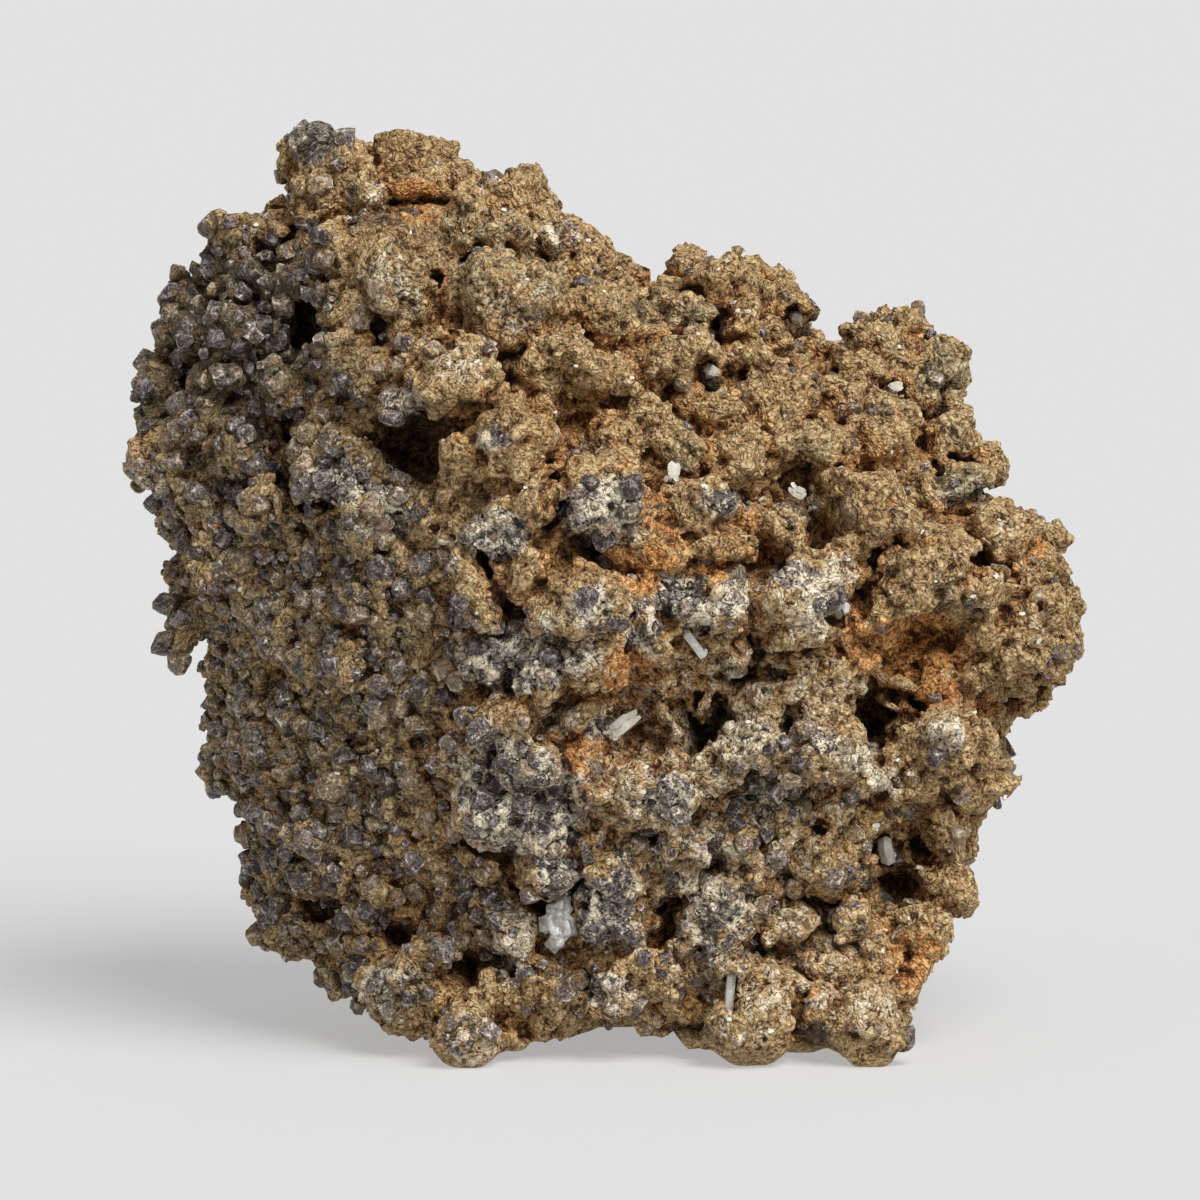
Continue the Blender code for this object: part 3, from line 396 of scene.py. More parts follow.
# Stains of the face, and painted shadow, in millimetres: across, up, half width, half height, strength.
STAINS_AND_SHADE = {
    "grey": (
        (-11, 33, 10, 9, 0.9), (-14, 66, 5, 3.4, 0.9), (-1.5, 69, 6, 4.4, 0.8), (-3, 57, 5, 4, 0.5),
        (-10, 50, 10, 4.4, 0.75), (-28, 68, 4.4, 4, 0.6), (-34, 72.6, 4.4, 3, 0.8), (-26, 82.4, 4, 2.4, 0.6),
        (-6, 103.6, 3.6, 3, 0.6), (9, 58, 3, 3, 0.9), (15.6, 58, 2.4, 3, 0.8), (23, 61, 3, 1.8, 0.9),
        (27.4, 57.4, 2, 1.6, 0.7), (7.6, 33, 3.4, 3, 0.9), (0, 18.4, 4, 5, 0.9), (14, 18.6, 5, 4.4, 0.6),
        (13, 27, 4.4, 3, 0.6), (20, 34.4, 3.4, 4, 0.7), (42, 41, 4, 3, 0.5), (-17.4, 3.4, 5.4, 4.4, 0.5),
        (-36.6, 115.2, 4, 3.8, 0.7),
        (-6, 23, 3.4, 3, 0.9), (-1, 42, 2, 2, 0.8), (26.4, 6, 3, 3, 0.4), (-12.4, 12, 3, 3, 0.6),
        (45, 71, 4.4, 2, 0.5), (-14, 78, 3, 2, 0.7), (14, 70, 4, 2, 0.6), (4.4, 54, 3, 4, 0.6),
        (26, 40, 3.4, 2.6, 0.6), (-20, 64, 4, 4, 0.4), (0, 9, 4, 3, 0.6), (-28, 9, 6, 4, 0.5),
        (-47, 39, 5, 7, 0.4), (-57, 71, 3, 5, 0.6), (-12, 92.6, 5, 2, 0.4),
    ),
    "pale": (
        (-2.4, 57.4, 3, 2.4, 0.9), (0.4, 71.4, 3, 2.4, 0.8), (2.4, 66, 3, 1.6, 0.7), (-13, 51, 4, 2.4, 0.8),
        (-5.6, 43, 4, 3.4, 0.6), (11.4, 55.6, 3, 4, 0.8), (26.4, 59, 2.4, 2, 0.8), (26, 55.4, 2, 2, 0.9),
        (23, 57.6, 5, 6, 0.4), (17.6, 41, 3.4, 4, 0.9), (42.4, 41, 3.6, 4, 0.7), (53.4, 54, 5, 7, 0.3),
        (11, 22.4, 3, 2, 0.9), (15, 18.4, 3, 2, 0.9), (2.4, 22.4, 2.4, 2.4, 0.8), (3.2, 15.6, 2.2, 2.6, 0.8),
        (1, 28, 3, 3, 0.5), (31, 38, 3, 2.4, 0.9), (35, 35, 3, 2.4, 0.9), (28, 39, 2, 2, 0.6),
        (-12.4, 17, 3.6, 3.6, 0.7), (33, 6, 3.6, 4.6, 0.5), (-9, 37, 2, 2.4, 0.8), (-19.4, 38, 1.6, 2, 0.8),
        (3.4, 33, 2.4, 2.4, 0.6), (12.8, 34.6, 3.4, 3, 0.5), (17, 4, 5, 4, 0.4), (8.4, 74, 2, 3, 0.6),
        (25.6, 69, 1.6, 1.6, 0.9), (-26.4, 97, 4, 6, 0.4), (-19, 87, 5, 3, 0.5), (-12, 96, 6, 4, 0.4),
        (29.6, 61.6, 3, 3.4, 0.6), (-7.4, 55, 2.4, 1.8, 0.7), (-14, 67, 4, 2, 0.5),
        (-29, 108.4, 2.8, 2.6, 0.5),
        (41, 60, 5, 4, 0.3), (49, 66, 3.4, 3, 0.4), (-45, 92, 5, 4, 0.25), (22, 19, 4, 4, 0.3),
        (14, 36, 22, 22, 0.44), (20, 14, 18, 12, 0.44),
    ),
    "rust": (
        (3, 48, 4.6, 4, 1), (-4, 36, 2.4, 8, 1), (2, 39, 5, 3, 0.7), (37.4, 52, 7, 4.4, 1),
        (41.4, 46.4, 3, 2.4, 0.8), (14.4, 61.4, 3, 1.6, 0.9), (53.4, 64.4, 2, 1.6, 0.8),
        (47, 44.4, 2, 1.6, 1),
        (24.8, 8.4, 2, 3, 0.8), (38.4, 13, 4.6, 5, 0.6), (-24, 109, 3, 1.6, 0.9), (-24, 106, 4, 1.6, 0.6),
        (5, 66, 5, 8, 0.55), (5.4, 60.4, 4, 2, 0.8), (12, 29, 4, 2, 0.4), (-15, 50, 2, 2, 0.6),
        (6, 16, 3, 3, 0.6), (16, 30, 2, 3, 0.6), (19.4, 23, 1.6, 3, 0.7), (7, 13, 4, 2, 0.5),
        (34, 76, 5, 4, 0.35), (27, 72, 3, 2, 0.4), (-0.4, 79, 3.6, 2, 0.4), (10, 47, 4, 3, 0.6),
        (-41, 40, 8, 4, 0.3), (-43, 34, 3, 4, 0.45), (-53, 60, 3, 5, 0.35), (-50, 50, 4, 3, 0.35),
        (-3, 80, 3, 1.6, 0.5), (-8, 80, 3, 5, 0.4), (-26, 76, 6, 3, 0.3), (20, 64, 1.6, 3, 0.6),
        (31, 55, 2, 3, 0.7), (2, 74, 2, 5, 0.4), (-40, 19, 4, 4, 0.4), (16, 66, 4, 4, 0.4),
    ),
    "green": (
        (10.4, 93.4, 4, 2.4, 0.7), (42, 86, 4, 3, 0.8), (45, 72, 4, 2, 0.9), (-12, 97, 6, 3, 0.5),
        (9, 76, 3, 4, 0.6), (53.4, 54, 5, 7, 0.3), (15, 49, 3, 3, 0.6), (-57, 82, 3, 4, 0.6),
        (17, 5, 5, 4, 0.4), (26, 77, 4, 3.4, 0.4), (34.4, 90, 4, 2, 0.4), (-1, 51, 3, 3, 0.4),
        (4, 95, 6, 4, 0.4),
        (-40, 50, 24, 48, 0.45), (-45, 92, 14, 14, 0.5), (-14, 99, 14, 10, 0.45), (45, 84, 8, 10, 0.4),
        (-26, 97, 5, 7, 0.5), (0, 20, 40, 20, 0.3),
    ),
    # The dark share is partly painted shadow, under the arch at the foot, in small holes, below lumps and
    # over the left side that faces away from the window, and partly the crest knob's own dark colour.
    "dark": (
        (26, 3.4, 2, 1.4, 0.9), (11, 4, 4.4, 1.4, 0.8), (3.8, 94.4, 0.9, 0.9, 1), (-8.2, 32.4, 0.9, 1, 1),
        (-8.6, 93.8, 1.8, 1.6, 0.6), (-29, 105.4, 4, 1.4, 0.6), (-16, 70.6, 2, 2, 0.4),
        (-46, 91, 14, 15, 0.8), (-40, 40, 22, 40, 0.16), (-36.6, 115.2, 3.8, 3.6, 0.75), (-27, 80, 8, 6, 0.2),
    ),
}
# How strong the chance patches are that each stain starts at where the photograph shows nothing.
STAIN_STARTS = {"grey": 0.05, "pale": 0.2, "rust": 0.15, "green": 0.2, "dark": 0.5}


def object_of(name, bm):
    """A named object from a bmesh, which is freed."""
    made = bpy.data.meshes.new(name)
    bm.to_mesh(made)
    bm.free()
    obj = bpy.data.objects.new(name, made)
    scene.collection.objects.link(obj)
    return obj


def settle(obj):
    """Turns what an object's modifiers make into its plain mesh."""
    graph = bpy.context.evaluated_depsgraph_get()
    made = bpy.data.meshes.new_from_object(obj.evaluated_get(graph))
    obj.modifiers.clear()
    obj.data = made
    return obj


def fuse(obj, cell):
    fusing = obj.modifiers.new("fuse", "REMESH")
    fusing.mode = "VOXEL"
    fusing.voxel_size = cell


def finder(obj):
    made = obj.data
    return BVHTree.FromPolygons([v.co for v in made.vertices], [p.vertices for p in made.polygons])


def ball(level):
    """The corners and faces of a ball of radius one."""
    bm = bmesh.new()
    bmesh.ops.create_icosphere(bm, subdivisions=level, radius=1)
    corners = np.array([vertex.co for vertex in bm.verts])
    faces = np.array([[vertex.index for vertex in face.verts] for face in bm.faces])
    bm.free()
    return corners, faces


def chipped(corners, dice, count, least, most):
    """Corners cut back to a few flat faces, each square to a chance direction."""
    for _ in range(count):
        out = np.array([dice.gauss(0, 1) for _ in range(3)])
        out /= np.linalg.norm(out)
        over = np.maximum(corners @ out - dice.uniform(least, most), 0)
        corners = corners - over[:, None] * out
    return corners


def pebble(level, seed, rough):
    """A ball with an uneven skin, chipped flat here and there."""
    corners, faces = ball(level)
    swell = []
    for corner in corners:
        place = Vector(corner) * 1.1 + Vector((seed * 7.3, seed * 3.1, 0))
        swell.append(1 + rough * (noise.noise(place) + 0.55 * noise.noise(place * 2.3)))
    return chipped(corners * np.array(swell)[:, None], random.Random(seed), 6, 0.66, 0.95), faces


def stirred(points, reach, cell):
    """Points moved about smoothly, in blotches about a cell across."""
    moves = np.array([noise.noise_vector(Vector(point) / cell) for point in points])
    return points + moves * (reach * ease(1 * MM, 5 * MM, points[:, 2]))[:, None]


def moved(lot, matrix):
    """A lot of corners and faces, with its corners moved by a matrix."""
    corners, faces = lot
    placed = np.array(matrix)
    return corners @ placed[:3, :3].T + placed[:3, 3], faces


def gathered(obj, lots):
    """Gives an object all the lots' corners and faces in one mesh."""
    start = 0
    corners, faces = [], []
    for points, corners_of_faces in lots:
        corners.append(points)
        faces += (np.asarray(corners_of_faces) + start).tolist()
        start += len(points)
    made = bpy.data.meshes.new(obj.name)
    made.from_pydata(np.concatenate(corners), [], faces)
    obj.data = made
    return obj


def lot_of(obj):
    """An object's corners and triangles."""
    obj.data.calc_loop_triangles()
    faces = np.empty(len(obj.data.loop_triangles) * 3, np.int32)
    obj.data.loop_triangles.foreach_get("vertices", faces)
    return column(obj, "co", 3), faces.reshape(-1, 3)


def column(obj, field, width):
    """One column of numbers for each vertex of a mesh."""
    values = np.empty(len(obj.data.vertices) * width, np.float32)
    obj.data.vertices.foreach_get(field, values)
    return values.reshape(-1, width).astype(float)


rock = object_of("rock", bmesh.new())
bm = bmesh.new()
bm.from_mesh(frame["nodes"]["matrix"].data)
bmesh.ops.remove_doubles(bm, verts=bm.verts, dist=1e-6)
bm.to_mesh(rock.data)
bm.free()
rock_tree = finder(rock)

# The pockets that the clear crystals sit in are filled, so that the crust closes round their roots.
# Each crystal's place on the face is kept: across, up, half width, half height, and how far away.
lots = [lot_of(rock)]
clear_spots = []
for name in CLEAR_PIECES:
    spans = face_place(column(frame["nodes"][name], "co", 3))
    (u_low, v_low, _), (u_high, v_high, _) = [[f(span) for span in spans] for f in (np.min, np.max)]
    clear_spots.append((
        (u_low + u_high) / 2, (v_low + v_high) / 2,
        (u_high - u_low) / 2, (v_high - v_low) / 2, spans[2].mean(),
    ))
    if name == "quartz_prism_low":
        clear_spots[-1] = (*PRISM_SHOWN, spans[2].mean())
    low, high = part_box(name)
    centre = (low + high) / 2
    half = (high - low) / 2
    reach = max(half.x, half.z) + SOCKET_RIM
    around = []
    for step in range(16):
        angle = math.tau * step / 16
        aim = centre + Vector((math.cos(angle), 0, math.sin(angle))) * reach
        place = rock_tree.ray_cast(eye, (aim - eye).normalized())[0]
        if place is not None:
            around.append((place - eye).length)
    away = float(np.median(around))
    sightline = (centre - eye).normalized()
    radius = max(half.x, half.z) + SOCKET_PLUG
    filler = Matrix.Translation(eye + sightline * (away + radius * 0.97)) @ Matrix.Scale(radius, 4)
    lots.append(moved(ball(4), filler))
gathered(rock, lots)
fuse(rock, ROCK_CELL)
smoothing = rock.modifiers.new("smooth", "SMOOTH")
smoothing.iterations = ROCK_SMOOTHING
settle(rock)


def ellipse(across, up, spot):
    """How far places lie out from a spot's middle: 0 at its middle, 1 on its edge."""
    return np.sqrt(((across - spot[0]) / spot[2]) ** 2 + ((up - spot[1]) / spot[3]) ** 2)


def ease(low, high, values):
    share = np.clip((values - low) / (high - low), 0, 1)
    return share * share * (3 - 2 * share)


def facing(obj):
    """How squarely each vertex faces the eye, from -1 to 1."""
    toward = np.array(eye) - column(obj, "co", 3)
    toward /= np.linalg.norm(toward, axis=1)[:, None]
    return (toward * column(obj, "normal", 3)).sum(1)


def beside_clear(across, up, square, margin):
    """Which places lie within a margin, in millimetres, of a clear crystal's outline on the face."""
    near = np.zeros(len(across), bool)
    for u, v, wide, tall, _ in clear_spots:
        near |= (ellipse(across, up, (u, v, wide + margin, tall + margin)) < 1) & (square > -0.2)
    return near


def store(obj, name, values):
    """Stores a number for each vertex under a name that materials and trees read."""
    made = obj.data.attributes.get(name) or obj.data.attributes.new(name, "FLOAT", "POINT")
    made.data.foreach_set("value", values.astype(np.float32))


def growth_tree(name):
    """A tree that grows copies of some shapes over a skin, as thickly as a stored number says."""
    tree = bpy.data.node_groups.new(name, "GeometryNodeTree")
    for label, kind in (
        ("Skin", "NodeSocketGeometry"), ("Shapes", "NodeSocketCollection"), ("Finish", "NodeSocketMaterial"),
        ("Where", "NodeSocketString"), ("Spacing", "NodeSocketFloat"), ("Density", "NodeSocketFloat"),
        ("Smallest", "NodeSocketFloat"), ("Largest", "NodeSocketFloat"), ("Tilt", "NodeSocketFloat"),
        ("Seed", "NodeSocketInt"),
    ):
        tree.interface.new_socket(label, in_out="INPUT", socket_type=kind)
    tree.interface.new_socket("Grown", in_out="OUTPUT", socket_type="NodeSocketGeometry")
    given = tree.nodes.new("NodeGroupInput").outputs
    where = plant("GeometryNodeInputNamedAttribute", tree, {"data_type": "FLOAT"}, {"Name": given["Where"]})
    points = plant("GeometryNodeDistributePointsOnFaces", tree, {"distribute_method": "POISSON"}, {
        "Mesh": given["Skin"], "Distance Min": given["Spacing"], "Density Max": given["Density"],
        "Density Factor": where.outputs["Attribute"], "Seed": given["Seed"],
    })
    shapes = plant("GeometryNodeCollectionInfo", tree, {}, {
        "Collection": given["Shapes"], "Separate Children": True, "Reset Children": True,
    })

    def chance(step, kind, output, **ends):
        """A random value for each copy. The step keeps it apart from the other random values."""
        seed = plant("ShaderNodeMath", tree, {"operation": "ADD"}, {0: given["Seed"], 1: step})
        values = {"Seed": seed.outputs[0], **ends}
        return plant("FunctionNodeRandomValue", tree, {"data_type": kind}, values).outputs[output]

    lean = chance(7.0, "FLOAT_VECTOR", "Value", Min=(-1, -1, 0), Max=(1, 1, 0))
    leaning = plant("ShaderNodeVectorMath", tree, {"operation": "SCALE"}, {0: lean, "Scale": given["Tilt"]})
    spin = plant("ShaderNodeCombineXYZ", tree, {}, {"Z": chance(0.0, "FLOAT", 1, Min=0.0, Max=math.tau)})
    rotation = points.outputs["Rotation"]
    for angles in (spin.outputs[0], leaning.outputs[0]):
        by = plant("FunctionNodeEulerToRotation", tree, {}, {0: angles}).outputs[0]
        rotation = plant("FunctionNodeRotateRotation", tree, {"rotation_space": "LOCAL"}, {
            "Rotation": rotation, "Rotate By": by,
        }).outputs[0]
    size = chance(13.0, "FLOAT", 1, Min=given["Smallest"], Max=given["Largest"])
    copies = plant("GeometryNodeInstanceOnPoints", tree, {}, {
        "Points": points.outputs["Points"], "Instance": shapes.outputs["Instances"], "Pick Instance": True,
        "Rotation": rotation, "Scale": size,
    })
    named = plant("GeometryNodeStoreNamedAttribute", tree, {"data_type": "FLOAT", "domain": "INSTANCE"}, {
        "Geometry": copies.outputs["Instances"], "Name": "tone", "Value": chance(29.0, "FLOAT", 1),
    })
    real = plant("GeometryNodeRealizeInstances", tree, {}, {"Geometry": named.outputs[0]})
    grown = plant("GeometryNodeSetMaterial", tree, {}, {
        "Geometry": real.outputs[0], "Material": given["Finish"],
    }).outputs[0]
    tree.links.new(grown, tree.nodes.new("NodeGroupOutput").inputs[0])
    return tree


def grown(name, skin, shapes, **inputs):
    """A plain mesh of the shapes that the growth tree grows over a skin. Inputs are set by identifier."""
    obj = object_of(name, bmesh.new())
    obj.data = skin.data
    growing = obj.modifiers.new(growth.name, "NODES")
    growing.node_group = growth
    for label, value in {"Shapes": shapes, **inputs}.items():
        growing[growth.interface.items_tree[label].identifier] = value
    return settle(obj)


def shape_group(name, objects):
    """A collection of shapes, kept out of the scene, for a tree to copy."""
    group = bpy.data.collections.new(name)
    for obj in objects:
        for home in obj.users_collection:
            home.objects.unlink(obj)
        group.objects.link(obj)
    return group


def forget(group):
    for obj in list(group.objects):
        bpy.data.objects.remove(obj)
    bpy.data.collections.remove(group)


def pebble_shapes(name, level, seed, rough, rise):
    """Four uneven balls for a tree to copy, raised or sunk by a share of their radius."""
    shapes = []
    for index in range(4):
        shape = object_of(f"{name}_{index}", bmesh.new())
        ball_of = moved(pebble(level, seed + index, rough), Matrix.Translation((0, 0, rise)))
        shapes.append(gathered(shape, [ball_of]))
    return shape_group(name, shapes)


def near_pairs(obj):
    """The vertices at the two ends of each edge, and how many edges each vertex has."""
    pairs = np.empty(len(obj.data.edges) * 2, np.int32)
    obj.data.edges.foreach_get("vertices", pairs)
    first, second = pairs.reshape(-1, 2).T
    total = len(obj.data.vertices)
    return first, second, np.bincount(first, minlength=total) + np.bincount(second, minlength=total)


def smoothed(values, pairs, rounds):
    """Values averaged over their neighbours, again and again."""
    first, second, count = pairs
    for _ in range(rounds):
        total = np.stack([
            np.bincount(first, values[second, axis], len(values))
            + np.bincount(second, values[first, axis], len(values))
            for axis in range(values.shape[1])
        ], axis=1)
        values = 0.5 * values + 0.5 * total / count[:, None]
    return values


def reshape(obj, points):
    obj.data.vertices.foreach_set("co", points.astype(np.float32).ravel())
    obj.data.update()


def blotches(points, cell, apart=Vector()):
    """Smooth noise at each point, in blotches about a cell across, from -1 to 1."""
    return np.array([noise.noise(Vector(point) / cell + apart) for point in points])


def met_by(toward, skin):
    """Where a sight line meets a skin, or where it passes the skin's nearest place."""
    place = skin.ray_cast(eye, toward)[0]
    if place is None:
        near = skin.find_nearest(eye + toward * (eye - middle).length)[0]
        place = eye + toward * (near - eye).dot(toward)
    return place


# The rock sinks back, most on the face, and knobs stand on it all over. The largest lumps come after.
growth = growth_tree("growth_over_a_skin")
points = column(rock, "co", 3)
square = facing(rock)
face_share = ease(-0.35, 0.1, square)
across, up, deep = face_place(points)

# The left of the face is flatter than the right: its lumps are half lost under the siderite.
left_facet = face_share * (1 - ease(-26, -17, across)) * (1 - ease(66, 82, up)) * ease(4, 12, up)
even = smoothed(points, near_pairs(rock), 50)
points += (even - points) * left_facet[:, None] * FACET_FLATNESS
reshape(rock, points)
rim = face_share * (1 - ease(0.1, 0.55, square))
sink = (SINK * (0.4 + 0.6 * face_share) + RIM_SINK * rim) * ease(1 * MM, 7 * MM, points[:, 2])
reshape(rock, points - column(rock, "normal", 3) * sink[:, None])
bare = (points[:, 2] < 4 * MM) | beside_clear(across, up, square, 1.2)
for spot in HOLLOWS:
    bare |= (ellipse(across, up, spot) < 1.2) & (square > -0.3)
on_lump = np.zeros(len(points), bool)
for spot in LUMPS:
    on_lump |= (ellipse(across, up, spot) < 0.8) & (square > -0.2)
store(rock, "knobby", np.where(bare, 0, np.where(on_lump, 0.12, 1)))
store(rock, "lumpy", np.where(bare, 0, 1 - face_share))
knob_shapes = pebble_shapes("knob_shapes", 3, 40, LUMP_ROUGH, -0.6)
knobs = [
    grown("knobs", rock, knob_shapes, Where="knobby", Spacing=2.8 * MM, Density=3e5,
          Smallest=1.6 * MM, Largest=3.0 * MM, Tilt=0.9, Seed=3),
    grown("back_lumps", rock, knob_shapes, Where="lumpy", Spacing=6.5 * MM, Density=6e4,
          Smallest=2.6 * MM, Largest=4.4 * MM, Tilt=0.9, Seed=8),
]
lots = [lot_of(rock), *map(lot_of, knobs)]

# Each lump is sat in the rock where the sight line through its place meets it. Low on the right the small
# ones lie loosely, every way round. On the left facet they are fewer, and half lost in it.
dice = random.Random(7)
for index, (u, v, wide, tall) in enumerate((*LUMPS[1:], *EDGE_LUMPS), 1):
    proud = LUMP_PROUD
    most_lean = LUMP_LEAN
    if u > -5 and v < 50 and wide < 3.7:
        most_lean = LOOSE_LEAN
        u += dice.uniform(-1.6, 1.6)
        v += dice.uniform(-1.8, 1.8)
        wide *= dice.uniform(0.75, 1.1)
        tall *= dice.uniform(0.9, 1.35)
    if u < -20 and v < 68:
        if dice.random() < FACET_GAPS:
            continue
        proud = dice.uniform(-0.25, 0.1)
        u += dice.uniform(-2.2, 2.2)
        v += dice.uniform(-2.2, 2.2)
        wide *= dice.uniform(0.6, 1.2)
        tall *= dice.uniform(0.6, 1.2)
    if v < FOOT_TOP:
        proud = FOOT_PROUD
    toward = inward = sight(u, v)
    place, normal = rock_tree.ray_cast(eye, toward)[:2]
    if place is None:
        if index < len(LUMPS):
            continue
        place = met_by(toward, rock_tree)
    elif normal.dot(toward) > -0.5:
        inward = (toward - normal).normalized()
    deep = min(wide, tall)
    lean = Euler((0, math.radians(dice.uniform(-most_lean, most_lean)), 0)).to_matrix().to_4x4()
    sized = Matrix.Diagonal((wide * MM, deep * MM, tall * MM, 1))
    seat = Matrix.Translation(place + inward * deep * (1 - proud) * MM) @ turn.to_4x4() @ lean @ sized
    lots.append(moved(pebble(4, index, LUMP_ROUGH), seat))
gathered(rock, lots)
fuse(rock, LUMPY_CELL)
settle(rock)
noise.seed_set(STIR_SEED)
points = column(rock, "co", 3)
for reach, cell in STIRRINGS:
    points = stirred(points, reach, cell)
reshape(rock, points)

# The crevices between the lumps are drawn deeper than their balls alone would leave them.
points = column(rock, "co", 3)
normals = column(rock, "normal", 3)
even = smoothed(points, near_pairs(rock), 16)
off = ((points - even) * normals).sum(1)
off = np.clip(off, -CREVICE_DEPTH, CREST_RISE) * ease(0, 3 * MM, points[:, 2])
reshape(rock, points + normals * off[:, None])
across, up, deep = face_place(points)
store(rock, "warty", np.where((points[:, 2] < 2 * MM) | beside_clear(across, up, facing(rock), 0.6), 0, 1))
wart_shapes = pebble_shapes("wart_shapes", 2, 60, LUMP_ROUGH, -0.5)
warts = grown("warts", rock, wart_shapes, Where="warty", Spacing=1.9 * MM, Density=1e6,
              Smallest=0.5 * MM, Largest=1.25 * MM, Tilt=0.9, Seed=4)
lots = [lot_of(rock), lot_of(warts)]

# The dark knob on the crest, and the two lumps before the foot's prism, keep their own round shapes.
low_prism = sum(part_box("quartz_prism_low"), Vector()) / 2
for index, (u, v, wide, tall) in enumerate((KNOB, *COVERS)):
    toward = sight(u, v)
    if index:
        place = eye + toward * ((low_prism - eye).dot(toward) - COVER_BEFORE)
    else:
        place = met_by(toward, rock_tree) + toward * KNOB_SUNK * tall * MM
    sized = Matrix.Diagonal((wide * MM, tall * MM, tall * MM, 1))
    lots.append(moved(pebble(4, 90 + index, KNOB_ROUGH), Matrix.Translation(place) @ turn.to_4x4() @ sized))
gathered(rock, lots)
points = column(rock, "co", 3)
points[:, 2] = np.maximum(points[:, 2], 0)
reshape(rock, points)
fuse(rock, CRUST_CELL)
settle(rock)
for helper in (*knobs, warts):
    bpy.data.objects.remove(helper)
forget(knob_shapes)
forget(wart_shapes)

# The hollows of the face are pressed on into the fresh crust, so that they stay deep and dark.
tree = finder(rock)
points = column(rock, "co", 3)
across, up, deep = face_place(points)
ragged = blotches(points, 1.8 * MM)
for u, v, wide, tall, depth in HOLLOWS:
    toward = sight(u, v)
    place = tree.ray_cast(eye, toward)[0]
    if place is None:
        continue
    level = face_place(np.array([place]))[2][0]
    reach = (ellipse(across, up, (u, v, wide, tall)) + 0.35 * ragged) ** 2
    inside = (reach < HOLLOW_EDGE) & (np.abs(deep - level) < depth * 0.5 + 4)
    share = 0.45 if v < 60 or wide > 4 else 0.3
    push = share * depth * MM * np.sqrt(np.clip(1 - reach[inside] / HOLLOW_EDGE, 0, 1))
    points[inside] += np.array(toward) * push[:, None]

# Round each clear crystal the crust lies back behind the crystal's middle, as a ragged socket.
across, up, deep = face_place(points)
square = facing(rock)
for u, v, wide, tall, away in clear_spots:
    reach = ellipse(across, up, (u, v, wide + 0.5, tall + 0.5)) + 0.3 * ragged
    over = np.clip(away + 0.15 - deep, 0, 4) * (1 - ease(0.85, 1.25, reach)) * (square > -0.3)
    points += np.array(sight(u, v)) * over[:, None] * MM
points[:, 2] = np.maximum(points[:, 2], 0)
reshape(rock, points)

# Fine worms, finer than the lumps: the skin swells and sinks by a fraction of a millimetre.
normals = column(rock, "normal", 3)
swell = np.empty(len(points))
for index, (x, y, z) in enumerate(points):
    place = Vector((x, y, z)) / MM
    worm = 0.2 - abs(noise.noise(place * 1.0))
    swell[index] = 0.5 * noise.noise(place * 0.6) + 1.1 * worm + 0.3 * noise.noise(place * 2.1)
points += normals * (swell * WORM_HEIGHT * ease(1.0 * MM, 3.0 * MM, points[:, 2]))[:, None]
reshape(rock, points)

# The dips between the warts are drawn sharper.
even = smoothed(points, near_pairs(rock), 6)
normals = column(rock, "normal", 3)
off = ((points - even) * normals).sum(1)
off = np.clip(off * DIP_GAIN, -DIP_DEPTH, 0) * ease(1 * MM, 3 * MM, points[:, 2])
reshape(rock, points + normals * off[:, None])

# What stands out towards the eye is pressed back a little, to keep to the solid's own reach.
points = column(rock, "co", 3)
points[:, 1] += FRONT_PRESS * np.maximum(FRONT_REACH - points[:, 1], 0)
reshape(rock, points)

# The side that the eye sees keeps its small faces, and the back is thinned.
square = facing(rock)
behind = rock.vertex_groups.new(name="behind")
spare = 1 - ease(-0.45, 0.1, square)
levels = np.round(np.clip(0.12 + 0.88 * spare, 0, 1), 1)
for level in np.unique(levels):
    behind.add([int(i) for i in np.nonzero(levels == level)[0]], float(level), "REPLACE")
rock.data.calc_loop_triangles()
thinning = rock.modifiers.new("thin", "DECIMATE")
thinning.ratio = CRUST_FACES / len(rock.data.loop_triangles)
thinning.vertex_group = "behind"
settle(rock)
rock.vertex_groups.clear()

# How each place lies: on a crest or in a dip, and how much of its sky the crust round it hides.
points = column(rock, "co", 3)
normals = column(rock, "normal", 3)
pairs = near_pairs(rock)
dips = ((smoothed(points, pairs, 5) - points) * normals).sum(1) / MM
store(rock, "dip", ease(0.03, 0.45, dips))
store(rock, "crest", ease(0.05, 0.45, -dips))
tree = finder(rock)
feelers = [Vector(corner) for corner in ball(1)[0][:12]]
hidden = np.empty(len(points))
for index, (point, normal) in enumerate(zip(map(Vector, points), map(Vector, normals))):
    start = point + normal * FEELER_LIFT
    met = felt = 0
    for feeler in feelers:
        square_on = feeler.dot(normal)
        if square_on > 0.15:
            felt += square_on
            if tree.ray_cast(start, feeler, FEELER_REACH)[0] is not None:
                met += square_on
    hidden[index] = met / felt if felt else 0.5
hidden = smoothed(hidden[:, None], pairs, 2)[:, 0]
store(rock, "hidden", hidden)

across, up, deep = face_place(points)
square = facing(rock)
front = ease(-0.35, 0.1, square)
elsewhere = 1 - front
drift = blotches(points, 11 * MM)
stains_and_shade = {}
for number, (stain, spots) in enumerate(STAINS_AND_SHADE.items()):
    share = np.zeros(len(points))
    for spot in spots:
        ragged = ellipse(across, up, spot) + 0.35 * drift
        share = np.maximum(share, spot[4] * (1 - ease(0.55, 1.25, ragged)))
    patch = blotches(points, 9 * MM, Vector((0, 0, 31.7 * (number + 1))))
    low = STAIN_STARTS[stain]
    stains_and_shade[stain] = front * share + elsewhere * 0.7 * ease(low, low + 0.3, patch)
    store(rock, stain, stains_and_shade[stain])

# Each stain's dark, middle and light colour, as a screen shows them.
TINTS = {
    "tan": ((58, 36, 15), (158, 125, 79), (206, 180, 134)),
    "rust": ((82, 45, 14), (182, 119, 57), (234, 180, 110)),
    "green": ((46, 39, 26), (134, 118, 84), (192, 178, 142)),
    "grey": ((34, 29, 28), (112, 103, 99), (210, 201, 193)),
    "pale": ((64, 50, 35), (202, 184, 151), (246, 237, 217)),
}
WEB = (232, 220, 192)


